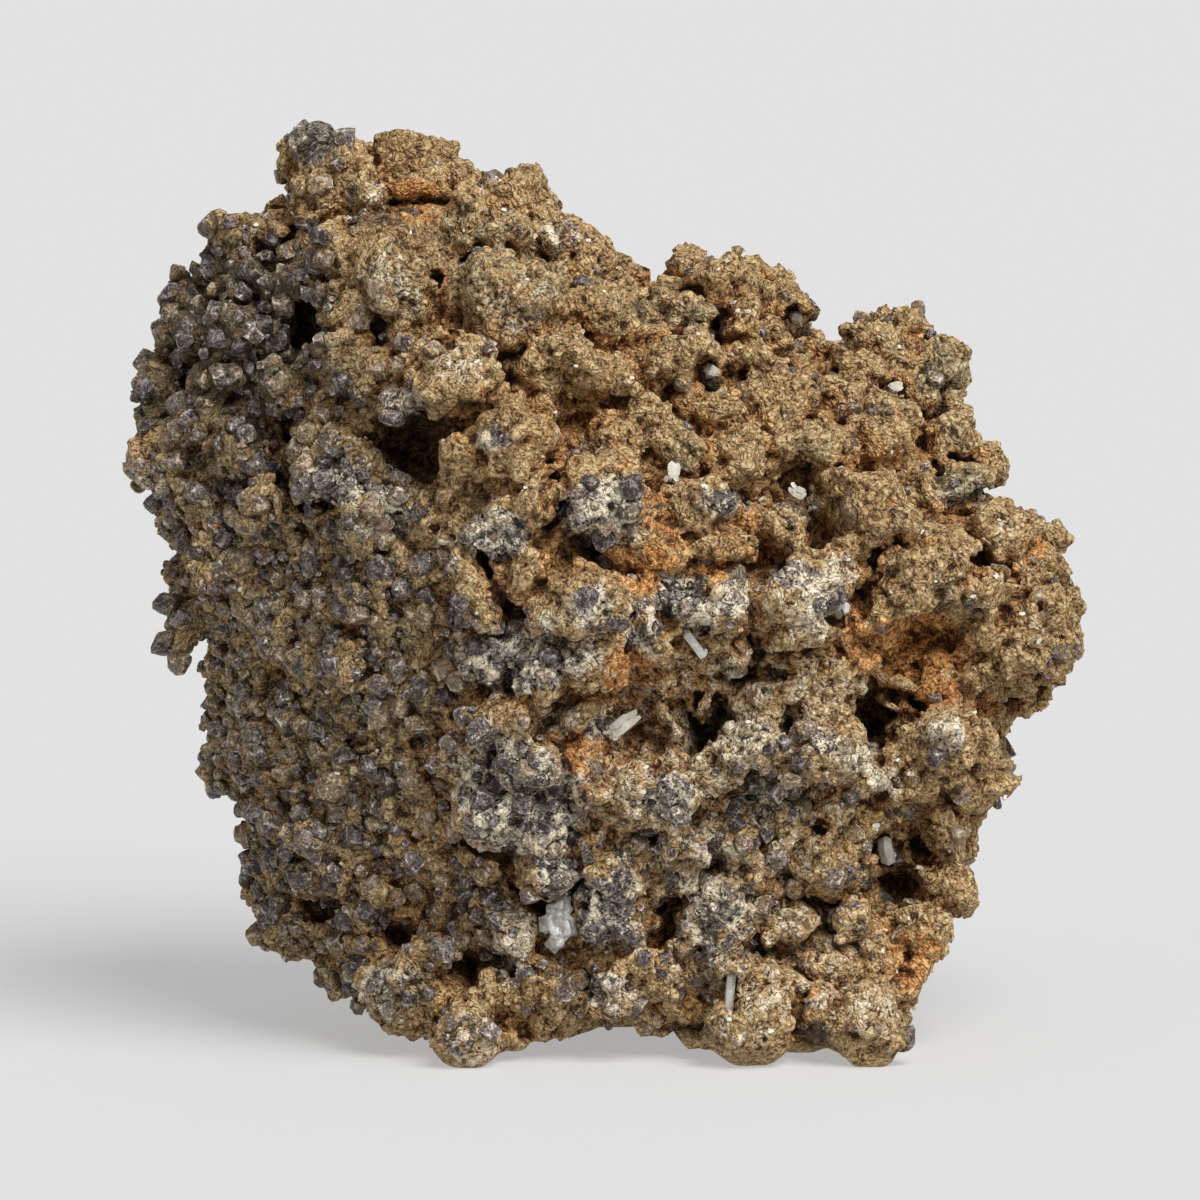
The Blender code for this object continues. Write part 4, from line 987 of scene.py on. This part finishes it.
def albite_colour(finish, lit):
    """The albite's tan as dark or light as lit says, with the stains of its place, painted shade near black
    in the crevices, and the stored dark share, which is partly painted shadow.
    """
    broad = finish.grain(9 * MM, 2)
    ragged = finish.grain(1.7 * MM, 2, 0.7)
    nub = finish.cells(1.9 * MM) + ragged * 0.6 - 0.3
    web = nub.rise(0.46, 0.6)
    hidden = finish.spread("hidden")
    colour = finish.tones(lit + broad * 0.5 - 0.25, *TINTS["tan"])
    recess = (hidden + ragged * 0.7 - 0.35).rise(0.15, 0.6) * 0.6
    colour = finish.mix(recess, colour, finish.tones(lit, *TINTS["rust"]))
    for stain in ("rust", "green", "pale", "grey"):
        share = (finish.spread(stain) + ragged * 1.5 - 0.75).rise(0.3, 0.7) * 0.9
        tint = finish.tones(lit, *TINTS[stain])
        if stain == "grey":
            tint = finish.mix(web * lit.rise(0.0, 0.5) * 0.95, tint, rgb(*WEB))
        colour = finish.mix(share, colour, tint)
    # Painted shade: the more of its sky the crust round a place hides, the nearer black its colour goes.
    painted_crevice_shade = (hidden + ragged * 0.3 - 0.15 - finish.spread("rust") * 0.4).rise(0.45, 0.95) * 0.8
    colour = finish.mix(painted_crevice_shade, colour, rgb(28, 17, 8))
    # Painted shadow: the stored dark share darkens the places listed for it. On the crest's knob it is the
    # knob's own dark colour.
    return finish.mix(finish.spread("dark") * 0.85, colour, rgb(26, 20, 15))


def folded(finish):
    """How the skin rises in low folds, and how light it is, with painted shade darkest in the fine grooves
    between them.
    """
    fine = finish.grain(0.6 * MM, 2, 0.6)
    groove = (finish.grain(2.1 * MM, 1, 0.4, twist=1.4) * 2 - 1).size()
    small = (finish.grain(1.05 * MM, 1, 0.4, twist=1.0) * 2 - 1).size()
    height = groove.rise(0.0, 0.3) * 0.5 + small.rise(0.0, 0.25) * 0.35 + fine * 0.35
    # Painted shade: the colour is darkest where the bump sinks into the grooves.
    light = groove.rise(0.02, 0.09) * 0.3 + small.rise(0.02, 0.12) * 0.4 + fine.rise(0.3, 0.7) * 0.5
    return height, light - 0.48


def crust_finish(name, toned):
    """Sugary albite in nodules and small folds, dull, with painted shade in the dips and seams between them
    and a painted highlight on the crests.
    """
    finish = Finish(name, Roughness=0.85)
    height, light = folded(finish)
    # Painted light: the crests are made lighter and the dips darker.
    lit = light + 0.09 + finish.spread("crest") * 0.18 - finish.spread("dip") * 0.46
    if toned:
        lit = lit + finish.spread("tone") * 0.4 - 0.12
    return finish.finished(albite_colour(finish, lit + 0.1), None, finish.bump(height, 0.5 * MM))


rock.name = "albite_crust"
rock.data.materials.clear()
rock.data.materials.append(crust_finish("albite_crust", False))
rock.data.shade_smooth()
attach(rock, "root")
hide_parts("matrix")

# The siderite.
# Iron carbonate, in blunt grey rhombs and rounded lenses, crusted over the albite with their roots in it.
# It covers the left side of the face, and stands about singly elsewhere.
SIDERITE = (
    (-31.6, 93, 2), (-50, 99.4, 1.6), (-25.4, 90, 1.7), (-52.3, 92, 1.6), (-41.2, 84.6, 1.7),
    (-37.2, 83.6, 1.7), (-44, 81.4, 1.6), (-53.6, 82, 1.8), (-58, 84.4, 1.7), (-33.2, 84, 1.6),
    (-56, 72, 1.9), (-51, 74.6, 1.5), (-47.4, 72, 1.4), (-43.2, 69.6, 1.5), (-44.2, 75, 1.8),
    (-37, 61.8, 1.9), (-33, 62.4, 1.5), (-28.4, 62, 1.7), (-23.4, 62, 1.6), (-20.2, 63.2, 1.4),
    (-23.6, 68.4, 1.5), (-26, 59.2, 1.6), (-51.4, 63.6, 1.5), (-36, 58.4, 1.4), (-31.4, 55.8, 1.5),
    (-48.2, 54.2, 1.4), (-43, 54.4, 1.4), (-36.6, 54, 1.5), (-41.4, 51, 1.4), (-29, 51.2, 1.5),
    (-48.6, 42, 1.5), (-44.6, 40.6, 1.5), (-46.4, 37.6, 1.4), (-35, 34.8, 2.1), (-33, 38.4, 1.5),
    (-38.4, 33.6, 1.4), (-30.2, 37, 1.4), (-29, 31.8, 1.4), (-25, 35.4, 1.6), (-21.2, 34.6, 1.5),
    (-44, 31, 1.5), (-42, 25.4, 1.8), (-36, 28.8, 1.6), (-32, 28.2, 1.7), (-38.2, 23, 1.7),
    (-34.6, 23, 1.4), (-29.6, 22.2, 1.6), (-26, 24.2, 1.5), (-33, 17.6, 1.6), (-29.8, 18.8, 1.8),
    (-22.6, 30.4, 1.5), (-20.4, 14, 1.8), (-31.4, 12.2, 1.4), (-8.6, 93.6, 1.8), (17, 83.4, 1.5),
    (33.4, 81.4, 1.4), (22.2, 68, 2), (36, 67.4, 1.7), (14.4, 69.8, 1.6), (-3.6, 68.4, 1.8),
    (2.4, 68.6, 1.6), (-13.8, 78.4, 1.5), (9, 57.8, 1.8), (15.6, 58, 2), (23, 61, 1.5), (45.5, 57.6, 1.4),
    (26.6, 40, 2), (7.4, 33.4, 1.9), (-1.8, 36.4, 1.7), (22.6, 30.8, 1.7), (36.6, 31.2, 1.6),
    (13.8, 27.4, 1.8), (7, 27.6, 1.5), (8, 22.4, 1.8), (15.4, 15.6, 1.8), (12.4, 18.6, 1.7),
    (6.7, 12, 1.6), (1, 7.2, 1.8), (33.4, 15, 1.6), (31.6, 24, 1.5), (-1.4, 9.4, 1.6), (-6.4, 23, 1.7),
    (42.4, 34, 1.4), (-48.4, 85.8, 1.5), (-47, 59.4, 1.4), (-38.4, 74.4, 1.5),
)
MORE_SIDERITE = (
    (-38, 88, 1.2), (-42, 87.5, 1.5), (-47, 86, 1.4), (-54.2, 61, 0.9), (-26.7, 55.3, 1.1), (-45, 51.3, 1.3),
    (-35.3, 51.2, 1.4), (-38.5, 49.3, 1.3), (-46.5, 38, 1.4), (-42.3, 37.5, 1.2), (-44, 35.5, 1.2),
    (-38.5, 31.2, 1.3), (-31.5, 33, 1.3), (-37.8, 26.3, 1.4), (-29, 26.7, 1.4), (-30.7, 18.5, 1.5),
    (-28.5, 19, 1.2), (-26.5, 29, 1.3), (-18, 15, 1.3), (-5, 37.3, 1.1), (-2.5, 32.7, 1.2), (9.7, 27, 1.1),
    (18, 26, 1.4), (2, 25.3, 1.4), (12, 22.7, 1.3), (15, 21.5, 1.3), (16.8, 13, 1.4), (32, 22, 1.3),
    (25.7, 24.5, 1.3), (28, 18, 1.2), (31.5, 17, 1.2), (24.5, 12.5, 1.2), (46.5, 27.5, 1.1), (4, 53, 1.5),
    (20, 46, 1.3), (5, 44.8, 1.0), (-1, 42, 1.2), (30, 77.2, 1.1), (33.5, 81.2, 1.2), (39.6, 66.2, 1.1),
    (6.5, 69.4, 0.9), (3.8, 73.5, 0.9), (10.7, 65, 0.8), (12, 62.7, 1.0), (6.3, 61.2, 1.2), (7, 65.7, 0.9),
    (16.2, 62.5, 0.8), (4, 57, 1.0), (31, 23, 1.6), (37.5, 31, 1.5), (38, 36, 1.3), (22.8, 68.2, 1.5),
)
# Where it grows thickly, in millimetres: across, up, half width, half height, share.
SIDERITE_FIELDS = (
    (-43, 62, 17, 26, 1.0), (-36, 34, 18, 26, 1.0), (-28, 20, 16, 14, 0.9), (-52, 78, 9, 12, 0.8),
    (-24, 54, 9, 12, 0.9), (-10, 30, 10, 12, 0.5), (10, 22, 14, 12, 0.5), (22, 36, 10, 8, 0.4),
    (-46, 94, 12, 12, 0.8), (-36, 108, 6, 8, 0.3), (-13, 52, 8, 6, 0.4), (12, 56, 6, 5, 0.4),
    (0, 10, 12, 7, 0.25), (-28, 92, 8, 8, 0.25), (30, 24, 10, 10, 0.3),
)
SIDERITE_BACK = 0.3
HERO_SIZE = 0.98 * MM
HERO_SUNK_LEFT = 0.35
HERO_SUNK = 0.6
HERO_ROOM = 2.1
SMALL_ROOM = 1.2
SHARP_FROM = math.radians(34)
# How far past the solid's box a tip may reach before it is pressed back, by what share.
REACH_PAST = (2.4 * MM, 1.5 * MM, 2.2 * MM)
TIP_PRESS = 0.8


def pressed(obj):
    """Presses back the few tips that stand out past the solid's reach."""
    points = column(obj, "co", 3)
    over = np.maximum(points - np.array(cad_box[1]) - REACH_PAST, 0)
    under = np.maximum(np.array(cad_box[0]) - REACH_PAST - points, 0)
    reshape(obj, points + TIP_PRESS * (under - over))


def rhomb_shape(name, stretch, round_off, cuts, dice):
    """A blunt rhomb of half size one, its long diagonal upright, chipped flat here and there."""
    bm = bmesh.new()
    bmesh.ops.create_cube(bm, size=2)
    bmesh.ops.subdivide_edges(bm, edges=bm.edges[:], cuts=cuts, use_grid_fill=True)
    rim = bm.verts.layers.float.new("rim")
    root = bm.verts.layers.float.new("root")
    corner = Vector((1, 1, 1)).normalized()
    upright = corner.rotation_difference(Vector((0, 0, 1))).to_matrix()
    press = Matrix.Scale(stretch, 3, corner)
    drift = Vector([dice.uniform(0, 50) for _ in range(3)])
    chips = []
    for _ in range(5):
        out = Vector([dice.gauss(0, 1) for _ in range(3)]).normalized()
        chips.append((out, dice.uniform(0.7, 0.95)))
    for vertex in bm.verts:
        flat = sorted(abs(value) for value in vertex.co)
        vertex[rim] = 1.0 if flat[1] > 0.9 else 0.0
        place = vertex.co.lerp(vertex.co.normalized() * 1.12, round_off)
        place *= 0.86 + 0.24 * noise.noise(place * 0.9 + drift) + 0.1 * noise.noise(place * 2.3 + drift)
        for out, reach in chips:
            place -= out * max(place.dot(out) - reach, 0)
        vertex.co = upright @ (press @ place) + Vector((0, 0, 0.15))
        vertex[root] = min(max((0.45 - vertex.co.z) / 0.9, 0), 1)
    obj = object_of(name, bm)
    obj.data.shade_smooth()
    return obj


def rhomb_shapes(name, cuts, dice):
    """Six siderite shapes, from sharp rhombs to round nubs."""
    forms = ((0.85, 0.4), (0.78, 0.6), (0.65, 0.55), (0.9, 0.8), (0.75, 0.75), (1.0, 0.6))
    return [rhomb_shape(f"{name}_{index}", *form, cuts, dice) for index, form in enumerate(forms)]


def siderite_finish():
    """Satin grey-brown, mottled, with a painted highlight making the rims paler, painted shade near black at
    the foot, and crusted over with albite in patches.
    """
    finish = Finish("siderite", Roughness=0.5)
    tone, rim, root = finish.spread("tone"), finish.spread("rim"), finish.spread("root")
    mottle = finish.grain(0.8 * MM, 2, 0.7)
    speck = finish.grain(0.3 * MM, 1, 0.6)
    height, light = folded(finish)
    lit = mottle.rise(0.3, 0.7) * 0.6 + speck.rise(0.3, 0.7) * 0.4
    # Painted highlight: the rims along the crystal's edges are made paler.
    lit = lit + tone * 0.5 + rim.rise(0.6, 1.0) * 0.3 - 0.4
    cool = finish.tones(lit, (40, 32, 30), (118, 106, 101), (222, 208, 199))
    warm = finish.tones(lit, (50, 39, 28), (122, 104, 82), (192, 172, 144))
    colour = finish.mix(tone.rise(0.5, 0.85), cool, warm)
    cover = (finish.grain(1.1 * MM, 2, 0.6) + (speck - 0.5) * 0.5 + root * 0.3 + tone * 0.1).rise(0.62, 0.72)
    colour = finish.mix(cover, colour, albite_colour(finish, light + 0.2))
    # Painted shade: the crystal's foot goes near black, as shade where it meets the crust.
    colour = finish.mix(root.rise(0.35, 0.9) * 0.85, colour, rgb(22, 16, 11))
    rough = 0.36 + cover * 0.45 + speck * 0.2
    height = mottle * 0.6 + speck * 0.4 + cover * (0.3 + height * 0.9)
    return finish.finished(colour, rough, finish.bump(height, 0.32 * MM))


dice = random.Random(17)
siderite_look = siderite_finish()
fine_rhombs = rhomb_shapes("rhomb_fine", 4, dice)
plain_rhombs = shape_group("plain_rhombs", rhomb_shapes("rhomb_plain", 2, dice))
small_rhombs = shape_group("small_rhombs", rhomb_shapes("rhomb_small", 1, dice))

# The largest crystals stand where the face shows them.
lots = []
taken = {name: [] for name in ("tone", "rim", "root", *stains_and_shade)}
heroes = KDTree(len(SIDERITE) + len(MORE_SIDERITE))
for index, (u, v, size) in enumerate(SIDERITE + MORE_SIDERITE):
    toward = sight(u, v)
    place, normal, face, _ = tree.ray_cast(eye, toward)
    if place is None:
        place, normal, face, _ = tree.find_nearest(eye + toward * (eye - middle).length)
    heroes.insert(place, index)
    out = (normal - toward * 0.5).normalized()
    lean = Euler([dice.uniform(-0.5, 0.5) for _ in range(2)] + [dice.uniform(0, math.tau)]).to_matrix()
    seat = Vector((0, 0, 1)).rotation_difference(out).to_matrix() @ lean
    shape = fine_rhombs[dice.choice((0, 1, 1, 2, 3, 4, 5))]
    half = size * HERO_SIZE
    sunk = HERO_SUNK_LEFT if u < -15 else HERO_SUNK
    placed = Matrix.Translation(place - out * sunk * half) @ seat.to_4x4() @ Matrix.Scale(half, 4)
    lots.append(moved(lot_of(shape), placed))
    total = len(shape.data.vertices)
    taken["tone"] += [dice.random()] * total
    for name in ("rim", "root"):
        # On the right the foot share is raised, which gives more albite cover and more painted shade at the
        # foot.
        more = 0.45 if name == "root" and u > -15 else 0
        taken[name] += [item.value + more for item in shape.data.attributes[name].data]
    for name, values in stains_and_shade.items():
        taken[name] += [values[rock.data.polygons[face].vertices[0]]] * total
heroes.balance()
chosen = gathered(object_of("siderite_crystals", bmesh.new()), lots)
for name, values in taken.items():
    store(chosen, name, np.array(values))
chosen.data.materials.append(siderite_look)
forget(shape_group("fine_rhombs", fine_rhombs))

# The rest cover the left of the face thickly and the back thinly, with small ones in the grey patches.
room = np.array([heroes.find(place)[2] for place in map(Vector, points)]) / MM
share = np.zeros(len(points))
for spot in SIDERITE_FIELDS:
    share = np.maximum(share, spot[4] * (1 - ease(0.8, 1.15, ellipse(across, up, spot) + 0.2 * drift)))
bare = (points[:, 2] < 2.5 * MM) | beside_clear(across, up, square, 0.5)
for spot in HOLLOWS:
    bare |= (ellipse(across, up, spot) < 1.0) & (square > -0.3)
share = front * np.maximum(share * 0.85, 0.02) + elsewhere * SIDERITE_BACK * ease(-0.25, 0.2, drift)
share = np.maximum(share, front * np.clip(stains_and_shade["grey"] - 0.25, 0, 1))
small_share = np.maximum(share * 0.45, np.clip(stains_and_shade["grey"] * 0.6 - 0.2, 0, 1))
for values, space in ((share, HERO_ROOM), (small_share, SMALL_ROOM)):
    values *= (1 - 0.8 * ease(0.45, 0.9, hidden)) * (room > space) * ~bare
store(rock, "siderite", share)
store(rock, "small_siderite", small_share)
field = grown("siderite_field", rock, plain_rhombs, Finish=siderite_look, Where="siderite", Spacing=2.2 * MM,
              Density=6e5, Smallest=0.8 * MM, Largest=1.75 * MM, Tilt=0.6, Seed=5)
small = grown("siderite_small", rock, small_rhombs, Finish=siderite_look, Where="small_siderite",
              Spacing=1.15 * MM, Density=1.2e6, Smallest=0.4 * MM, Largest=0.85 * MM, Tilt=0.8, Seed=6)
for obj in (chosen, field, small):
    pressed(obj)
    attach(obj, "root")
    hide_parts("matrix")
    obj.data.shade_smooth()
    obj.data.set_sharp_from_angle(angle=SHARP_FROM)
forget(plain_rhombs)
forget(small_rhombs)

# The albite nodules and grains.
# Rounded nodules of the same albite stand on the crust here and there, half sunk in it.
# Small blunt tablets are strewn among them like sugar, one in some dozens of them painted near white as a
# glint.


def grain_shape(name, dice):
    """A small tablet with uneven corners, half long one."""
    bm = bmesh.new()
    bmesh.ops.create_cube(bm, size=2)
    for vertex in bm.verts:
        vertex.co.x *= dice.uniform(0.65, 1.1)
        vertex.co.y *= 0.75 * dice.uniform(0.65, 1.1)
        vertex.co.z *= 0.5 * dice.uniform(0.6, 1.2)
    return object_of(name, bm)


def grain_finish():
    """The crust's albite, each grain a little its own, and a few painted near white as glints."""
    finish = Finish("albite_grains", Roughness=0.7)
    tone = finish.spread("tone")
    fine = finish.grain(0.3 * MM, 2, 0.6)
    patchy = finish.grain(2.4 * MM, 2, 0.6)
    colour = albite_colour(finish, tone * 0.8 + fine * 0.5 + patchy * 0.4 - 0.3)
    # Painted glints: a few grains, chosen at random, are made near white.
    colour = finish.mix(tone.rise(0.975, 0.98), colour, rgb(232, 227, 215))
    rough = 0.8 - tone.rise(0.8, 1.0) * 0.4
    return finish.finished(colour, rough, finish.bump(fine, 0.12 * MM))


dice = random.Random(23)
grain_shapes = shape_group("grain_shapes", [grain_shape(f"grain_{index}", dice) for index in range(5)])
nodule_shapes = pebble_shapes("nodule_shapes", 1, 80, 0.3, -0.35)
grain_look = grain_finish()
nodule_look = crust_finish("albite_nodules", True)
left = 1 - ease(-6, 2, across)
rooted = ease(1.2 * MM, 3.0 * MM, points[:, 2]) * (1 - 0.7 * ease(0.5, 0.95, hidden))
for kind, shapes, look, space, least, most, shares in (
    ("nodules", nodule_shapes, nodule_look, 1.5, 0.5, 1.1, (0.14, 0.2, 0.06)),
    ("grains", grain_shapes, grain_look, 0.6, 0.18, 0.42, (0.14, 0.16, 0.08)),
):
    for side, place, amount, seed in zip(
        ("left", "right", "back"), (front * left, front * (1 - left), elsewhere), shares, (31, 37, 41),
    ):
        where = kind + "_" + side
        store(rock, where, place * amount * rooted * ~beside_clear(across, up, square, 0.4))
        made = grown("albite_" + where, rock, shapes, Finish=look, Where=where, Spacing=space * MM,
                     Density=3.2e6, Smallest=least * MM, Largest=most * MM, Tilt=1.5, Seed=seed)
        if kind == "nodules":
            made.data.shade_smooth()
        pressed(made)
        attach(made, "root")
        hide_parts("matrix")
forget(grain_shapes)
forget(nodule_shapes)


# The clear crystals.
# Glassy quartz prisms and points, a milky quartz cluster, and pearly blades of clean albite.
# Each is rooted in a socket of the crust, with smaller ones intergrown at its foot.
VEIL = 0.9 * MM
CLUSTER_CELL = 0.2 * MM
CLUSTER_SOFTENING = 6
CLUSTER_PITS = 0.08 * MM


def hull(points, blunt):
    """The corners and faces of a crystal: the flat-sided body round some points, its edges a little worn."""
    bm = bmesh.new()
    for point in points:
        bm.verts.new(point)
    bmesh.ops.convex_hull(bm, input=bm.verts[:])
    bmesh.ops.dissolve_limit(bm, angle_limit=math.radians(4), verts=bm.verts[:], edges=bm.edges[:])
    bmesh.ops.bevel(bm, geom=bm.edges[:], offset=blunt, segments=1, affect="EDGES")
    bmesh.ops.triangulate(bm, faces=bm.faces[:])
    bm.normal_update()
    corners = np.array([vertex.co for vertex in bm.verts])
    faces = np.array([[vertex.index for vertex in face.verts] for face in bm.faces])
    bm.free()
    return corners, faces


def quartz_point(dice, long):
    """A six-sided prism of radius one with three broad faces and three narrow ones to its tip."""
    corners = []
    for step in range(6):
        angle = math.tau * step / 6
        radius = dice.uniform(0.9, 1.04)
        side = Vector((radius * math.cos(angle), radius * math.sin(angle), 0))
        corners += [side + Vector((0, 0, -long)), side + Vector((0, 0, long - (0.85, 1.25)[step % 2]))]
    tip = Vector((dice.uniform(-0.15, 0.15), dice.uniform(-0.15, 0.15), long))
    return hull(corners + [tip, tip + Vector((0.2, 0.05, -0.12))], 0.04)


def albite_leaf(dice):
    """A cleaved sliver of half size one, narrower and thinner towards its broken ends."""
    corners = []
    for x, y, z in ((-1, 0.55, 0.6), (-0.55, 1, 1), (0.5, 1, 1), (1, 0.5, 0.7)):
        for side in (-1, 1):
            for face in (-1, 1):
                corners.append(Vector((
                    x + dice.uniform(-0.12, 0.12),
                    side * y * dice.uniform(0.7, 1),
                    face * z * dice.uniform(0.75, 1),
                )))
    return hull(corners, 0.03)


def corners_of(name):
    """Each corner of a node once, since its mesh is loose triangles."""
    return np.unique(np.round(column(frame["nodes"][name], "co", 3), 6), axis=0)


def seat_of(name):
    """A crystal's middle, its axes from longest to thinnest, and its half sizes along them."""
    corners = corners_of(name)
    centre = corners.mean(0)
    axes = np.linalg.svd(corners - centre)[2].T
    spans = (corners - centre) @ axes
    thick = np.hypot(spans[:, 1], spans[:, 2])
    if thick[spans[:, 0] > 0].mean() > thick[spans[:, 0] < 0].mean():
        axes[:, 0] *= -1
    axes[:, 2] = np.cross(axes[:, 0], axes[:, 1])
    spans = (corners - centre) @ axes
    low, high = spans.min(0), spans.max(0)
    return Vector(centre + axes @ ((low + high) / 2)), Matrix(axes), Vector((high - low) / 2)


def placing(centre, axes, lean, order, sizes):
    """The matrix that seats a unit crystal: its own axes, in an order, leaning a little, at its sizes."""
    columns = Matrix([axes.col[index] for index in order]).transposed()
    if columns.determinant() < 0:
        columns.col[1] = -columns.col[1]
    return Matrix.Translation(centre) @ (columns @ lean.to_matrix()).to_4x4() @ Matrix.Diagonal((*sizes, 1))


def leaning(dice, most):
    return Euler([dice.uniform(-most, most) for _ in range(3)])


def quartz_finish(name, clear, dull, milk):
    """Colourless to milky quartz: glassy, with veils inside and a dull skin here and there."""
    finish = Finish(name, IOR=1.544, Transmission_Weight=clear)
    veil = finish.grain(VEIL, 3, 0.6)
    fine = finish.grain(0.25 * MM, 2)
    colour = finish.mix(veil.rise(0.35, 0.65), rgb(*dull), rgb(*milk))
    return finish.finished(colour, 0.08 + veil.rise(0.45, 0.7) * 0.3, finish.bump(fine, 0.03 * MM))


def clean_albite_finish():
    """White cleavage faces with a pearly gloss, faintly streaked, tan where they root."""
    finish = Finish("clean_albite", IOR=1.53, Transmission_Weight=0.12)
    streak = finish.grain(0.35 * MM, 2, 0.6)
    cloud = finish.grain(1.3 * MM, 2)
    colour = finish.mix((streak * 0.5 + cloud * 0.6).rise(0.35, 0.8), rgb(204, 194, 174), rgb(240, 236, 226))
    return finish.finished(colour, 0.22 + streak * 0.25, finish.bump(streak, 0.05 * MM))


quartz_look = quartz_finish("quartz", 0.2, (222, 219, 210), (246, 244, 238))
milky_look = quartz_finish("milky_quartz", 0.2, (158, 157, 152), (232, 231, 225))
albite_look = clean_albite_finish()
dice = random.Random(29)
for name in CLEAR_PIECES:
    if name == "quartz_cluster":
        continue
    centre, axes, half = seat_of(name)
    lots = []
    if name.startswith("quartz"):
        radius = max(half.y, half.z)
        lots.append(moved(quartz_point(dice, half.x / radius), placing(
            centre, axes, leaning(dice, 0.02), (1, 2, 0), (radius, radius, radius))))
        foot = centre - axes.col[0] * half.x * 0.75
        for share in (0.5, 0.42, 0.34):
            small = radius * share
            place = foot + (axes.col[1] * dice.uniform(-1, 1) + axes.col[2] * dice.uniform(-1, 1)) * radius
            lots.append(moved(quartz_point(dice, 1.5), placing(
                place, axes, leaning(dice, 0.8), (1, 2, 0), (small, small, small))))
    else:
        for layer in range(5):
            share = 1 - 0.16 * layer
            sizes = [half.x * share, half.y * (0.62, 0.5, 0.55, 0.4, 0.45)[layer], half.z * 0.6]
            shift = axes.col[0] * half.x * (1 - share) * dice.uniform(-1, 1)
            shift += axes.col[1] * (half.y - sizes[1]) * (0.5, -1, 1, -0.4, 0.8)[layer]
            shift += axes.col[2] * half.z * dice.uniform(-0.3, 0.3)
            lots.append(moved(albite_leaf(dice), placing(
                centre + shift, axes, leaning(dice, 0.12), (0, 1, 2), sizes)))
        for _ in range(5):
            place = centre - axes.col[0] * half.x * dice.uniform(0.7, 1.2)
            place += axes.col[1] * half.y * dice.uniform(-1, 1)
            small = half.y * dice.uniform(0.3, 0.55)
            lots.append(moved(albite_leaf(dice), placing(
                place, axes, leaning(dice, 0.9), (0, 1, 2), (small, small * 0.7, small * 0.5))))
    made = gathered(object_of("clear_" + name, bmesh.new()), lots)
    made.data.materials.append(quartz_look if name.startswith("quartz") else albite_look)
    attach(made, "root")
    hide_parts(name)

# The quartz cluster.
# Milky quartz low on the face, in blunt lobes that run together like wax.
# The solid's own rhombs are fused with small knobs, rounded, and pitted a little.
cluster = object_of("clear_quartz_cluster", bmesh.new())
low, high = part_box("quartz_cluster")
lots = [lot_of(frame["nodes"]["quartz_cluster"])]
corners = corners_of("quartz_cluster")
for _ in range(26):
    place = Vector(corners[dice.randrange(len(corners))]).lerp((low + high) / 2, dice.uniform(0.12, 0.4))
    knob = pebble(2, dice.random() * 9, 0.2)
    lots.append(moved(knob, Matrix.Translation(place) @ Matrix.Scale(dice.uniform(0.45, 0.9) * MM, 4)))
gathered(cluster, lots)
fuse(cluster, CLUSTER_CELL)
softening = cluster.modifiers.new("soften", "SMOOTH")
softening.iterations = CLUSTER_SOFTENING
settle(cluster)
skin = column(cluster, "co", 3)
pitted = blotches(skin, 0.7 * MM) + 0.5 * blotches(skin, 0.35 * MM)
reshape(cluster, skin + column(cluster, "normal", 3) * (pitted * CLUSTER_PITS)[:, None])
cluster.data.materials.clear()
cluster.data.materials.append(milky_look)
cluster.data.shade_smooth()
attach(cluster, "root")
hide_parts("quartz_cluster")

# The albite chips.
# Small cleavage faces of clean albite glint here and there between the crust's grains.
# Each is a pearly sliver with a smaller one beside it, and those that show are turned to the light.
# Their places, in millimetres: across, up, size.
CHIP_HALF = 0.72
CHIP_SUNK = 0.1 * MM
CHIP_APART = 1.6 * MM
GLINTS = (
    (17.5, 93.8, 0.5), (16.2, 93.9, 0.4), (-13, 106.5, 0.5), (-2.5, 102.7, 0.5), (-19.7, 110.5, 0.5),
    (-0.5, 96.3, 0.4), (-4, 87, 0.4), (-4, 90.3, 0.35), (5, 85.7, 0.5), (3, 85.5, 0.4), (11.3, 91, 0.45),
    (36.3, 89.4, 0.5), (39.8, 74.6, 0.6), (26, 69.3, 0.6), (12, 72, 0.5), (17.5, 51, 0.5), (17.5, 42.5, 0.5),
    (13.3, 31, 0.6), (15.2, 5.3, 0.5), (20.3, 3.8, 0.6), (51.8, 56, 0.5), (-47.3, 59.7, 0.7),
    (-44, 104.6, 0.5), (38, 36, 0.8), (39.5, 66.2, 0.7), (26.4, 41.6, 0.6), (28.6, 38.6, 0.5),
    (-2.5, 57.5, 0.5), (33.5, 29.5, 0.7), (31, 23.4, 0.5), (-11, 51, 0.5), (-27.5, 71, 0.4), (-36, 41.5, 0.4),
    (-7.6, 25, 0.4), (-43.6, 30.4, 0.4), (8.6, 59.6, 0.4), (45.6, 58.2, 0.5), (30, 62.8, 0.4),
    (43.4, 41.8, 0.6), (0.8, 23.6, 0.5),
)

window = Vector(KEY_FROM).normalized()
lots = []
for u, v, size in GLINTS:
    toward = sight(u, v)
    place = tree.ray_cast(eye, toward)[0]
    if place is None:
        continue
    out = (window - toward).normalized().to_track_quat("Z", "Y").to_matrix()
    for share, most in ((1.0, 0.2), (0.6, 0.8)):
        half = CHIP_HALF * size * share * MM
        middle_of_chip = place - toward * CHIP_SUNK
        middle_of_chip += Vector([dice.uniform(-1, 1) for _ in range(3)]) * size * (1 - share) * CHIP_APART
        sizes = (half, half * 0.7, half * 0.45)
        lots.append(moved(albite_leaf(dice), placing(
            middle_of_chip, out, leaning(dice, most), (0, 1, 2), sizes)))
chips = gathered(object_of("albite_chips", bmesh.new()), lots)
chips.data.materials.append(albite_look)
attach(chips, "root")
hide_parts("matrix")
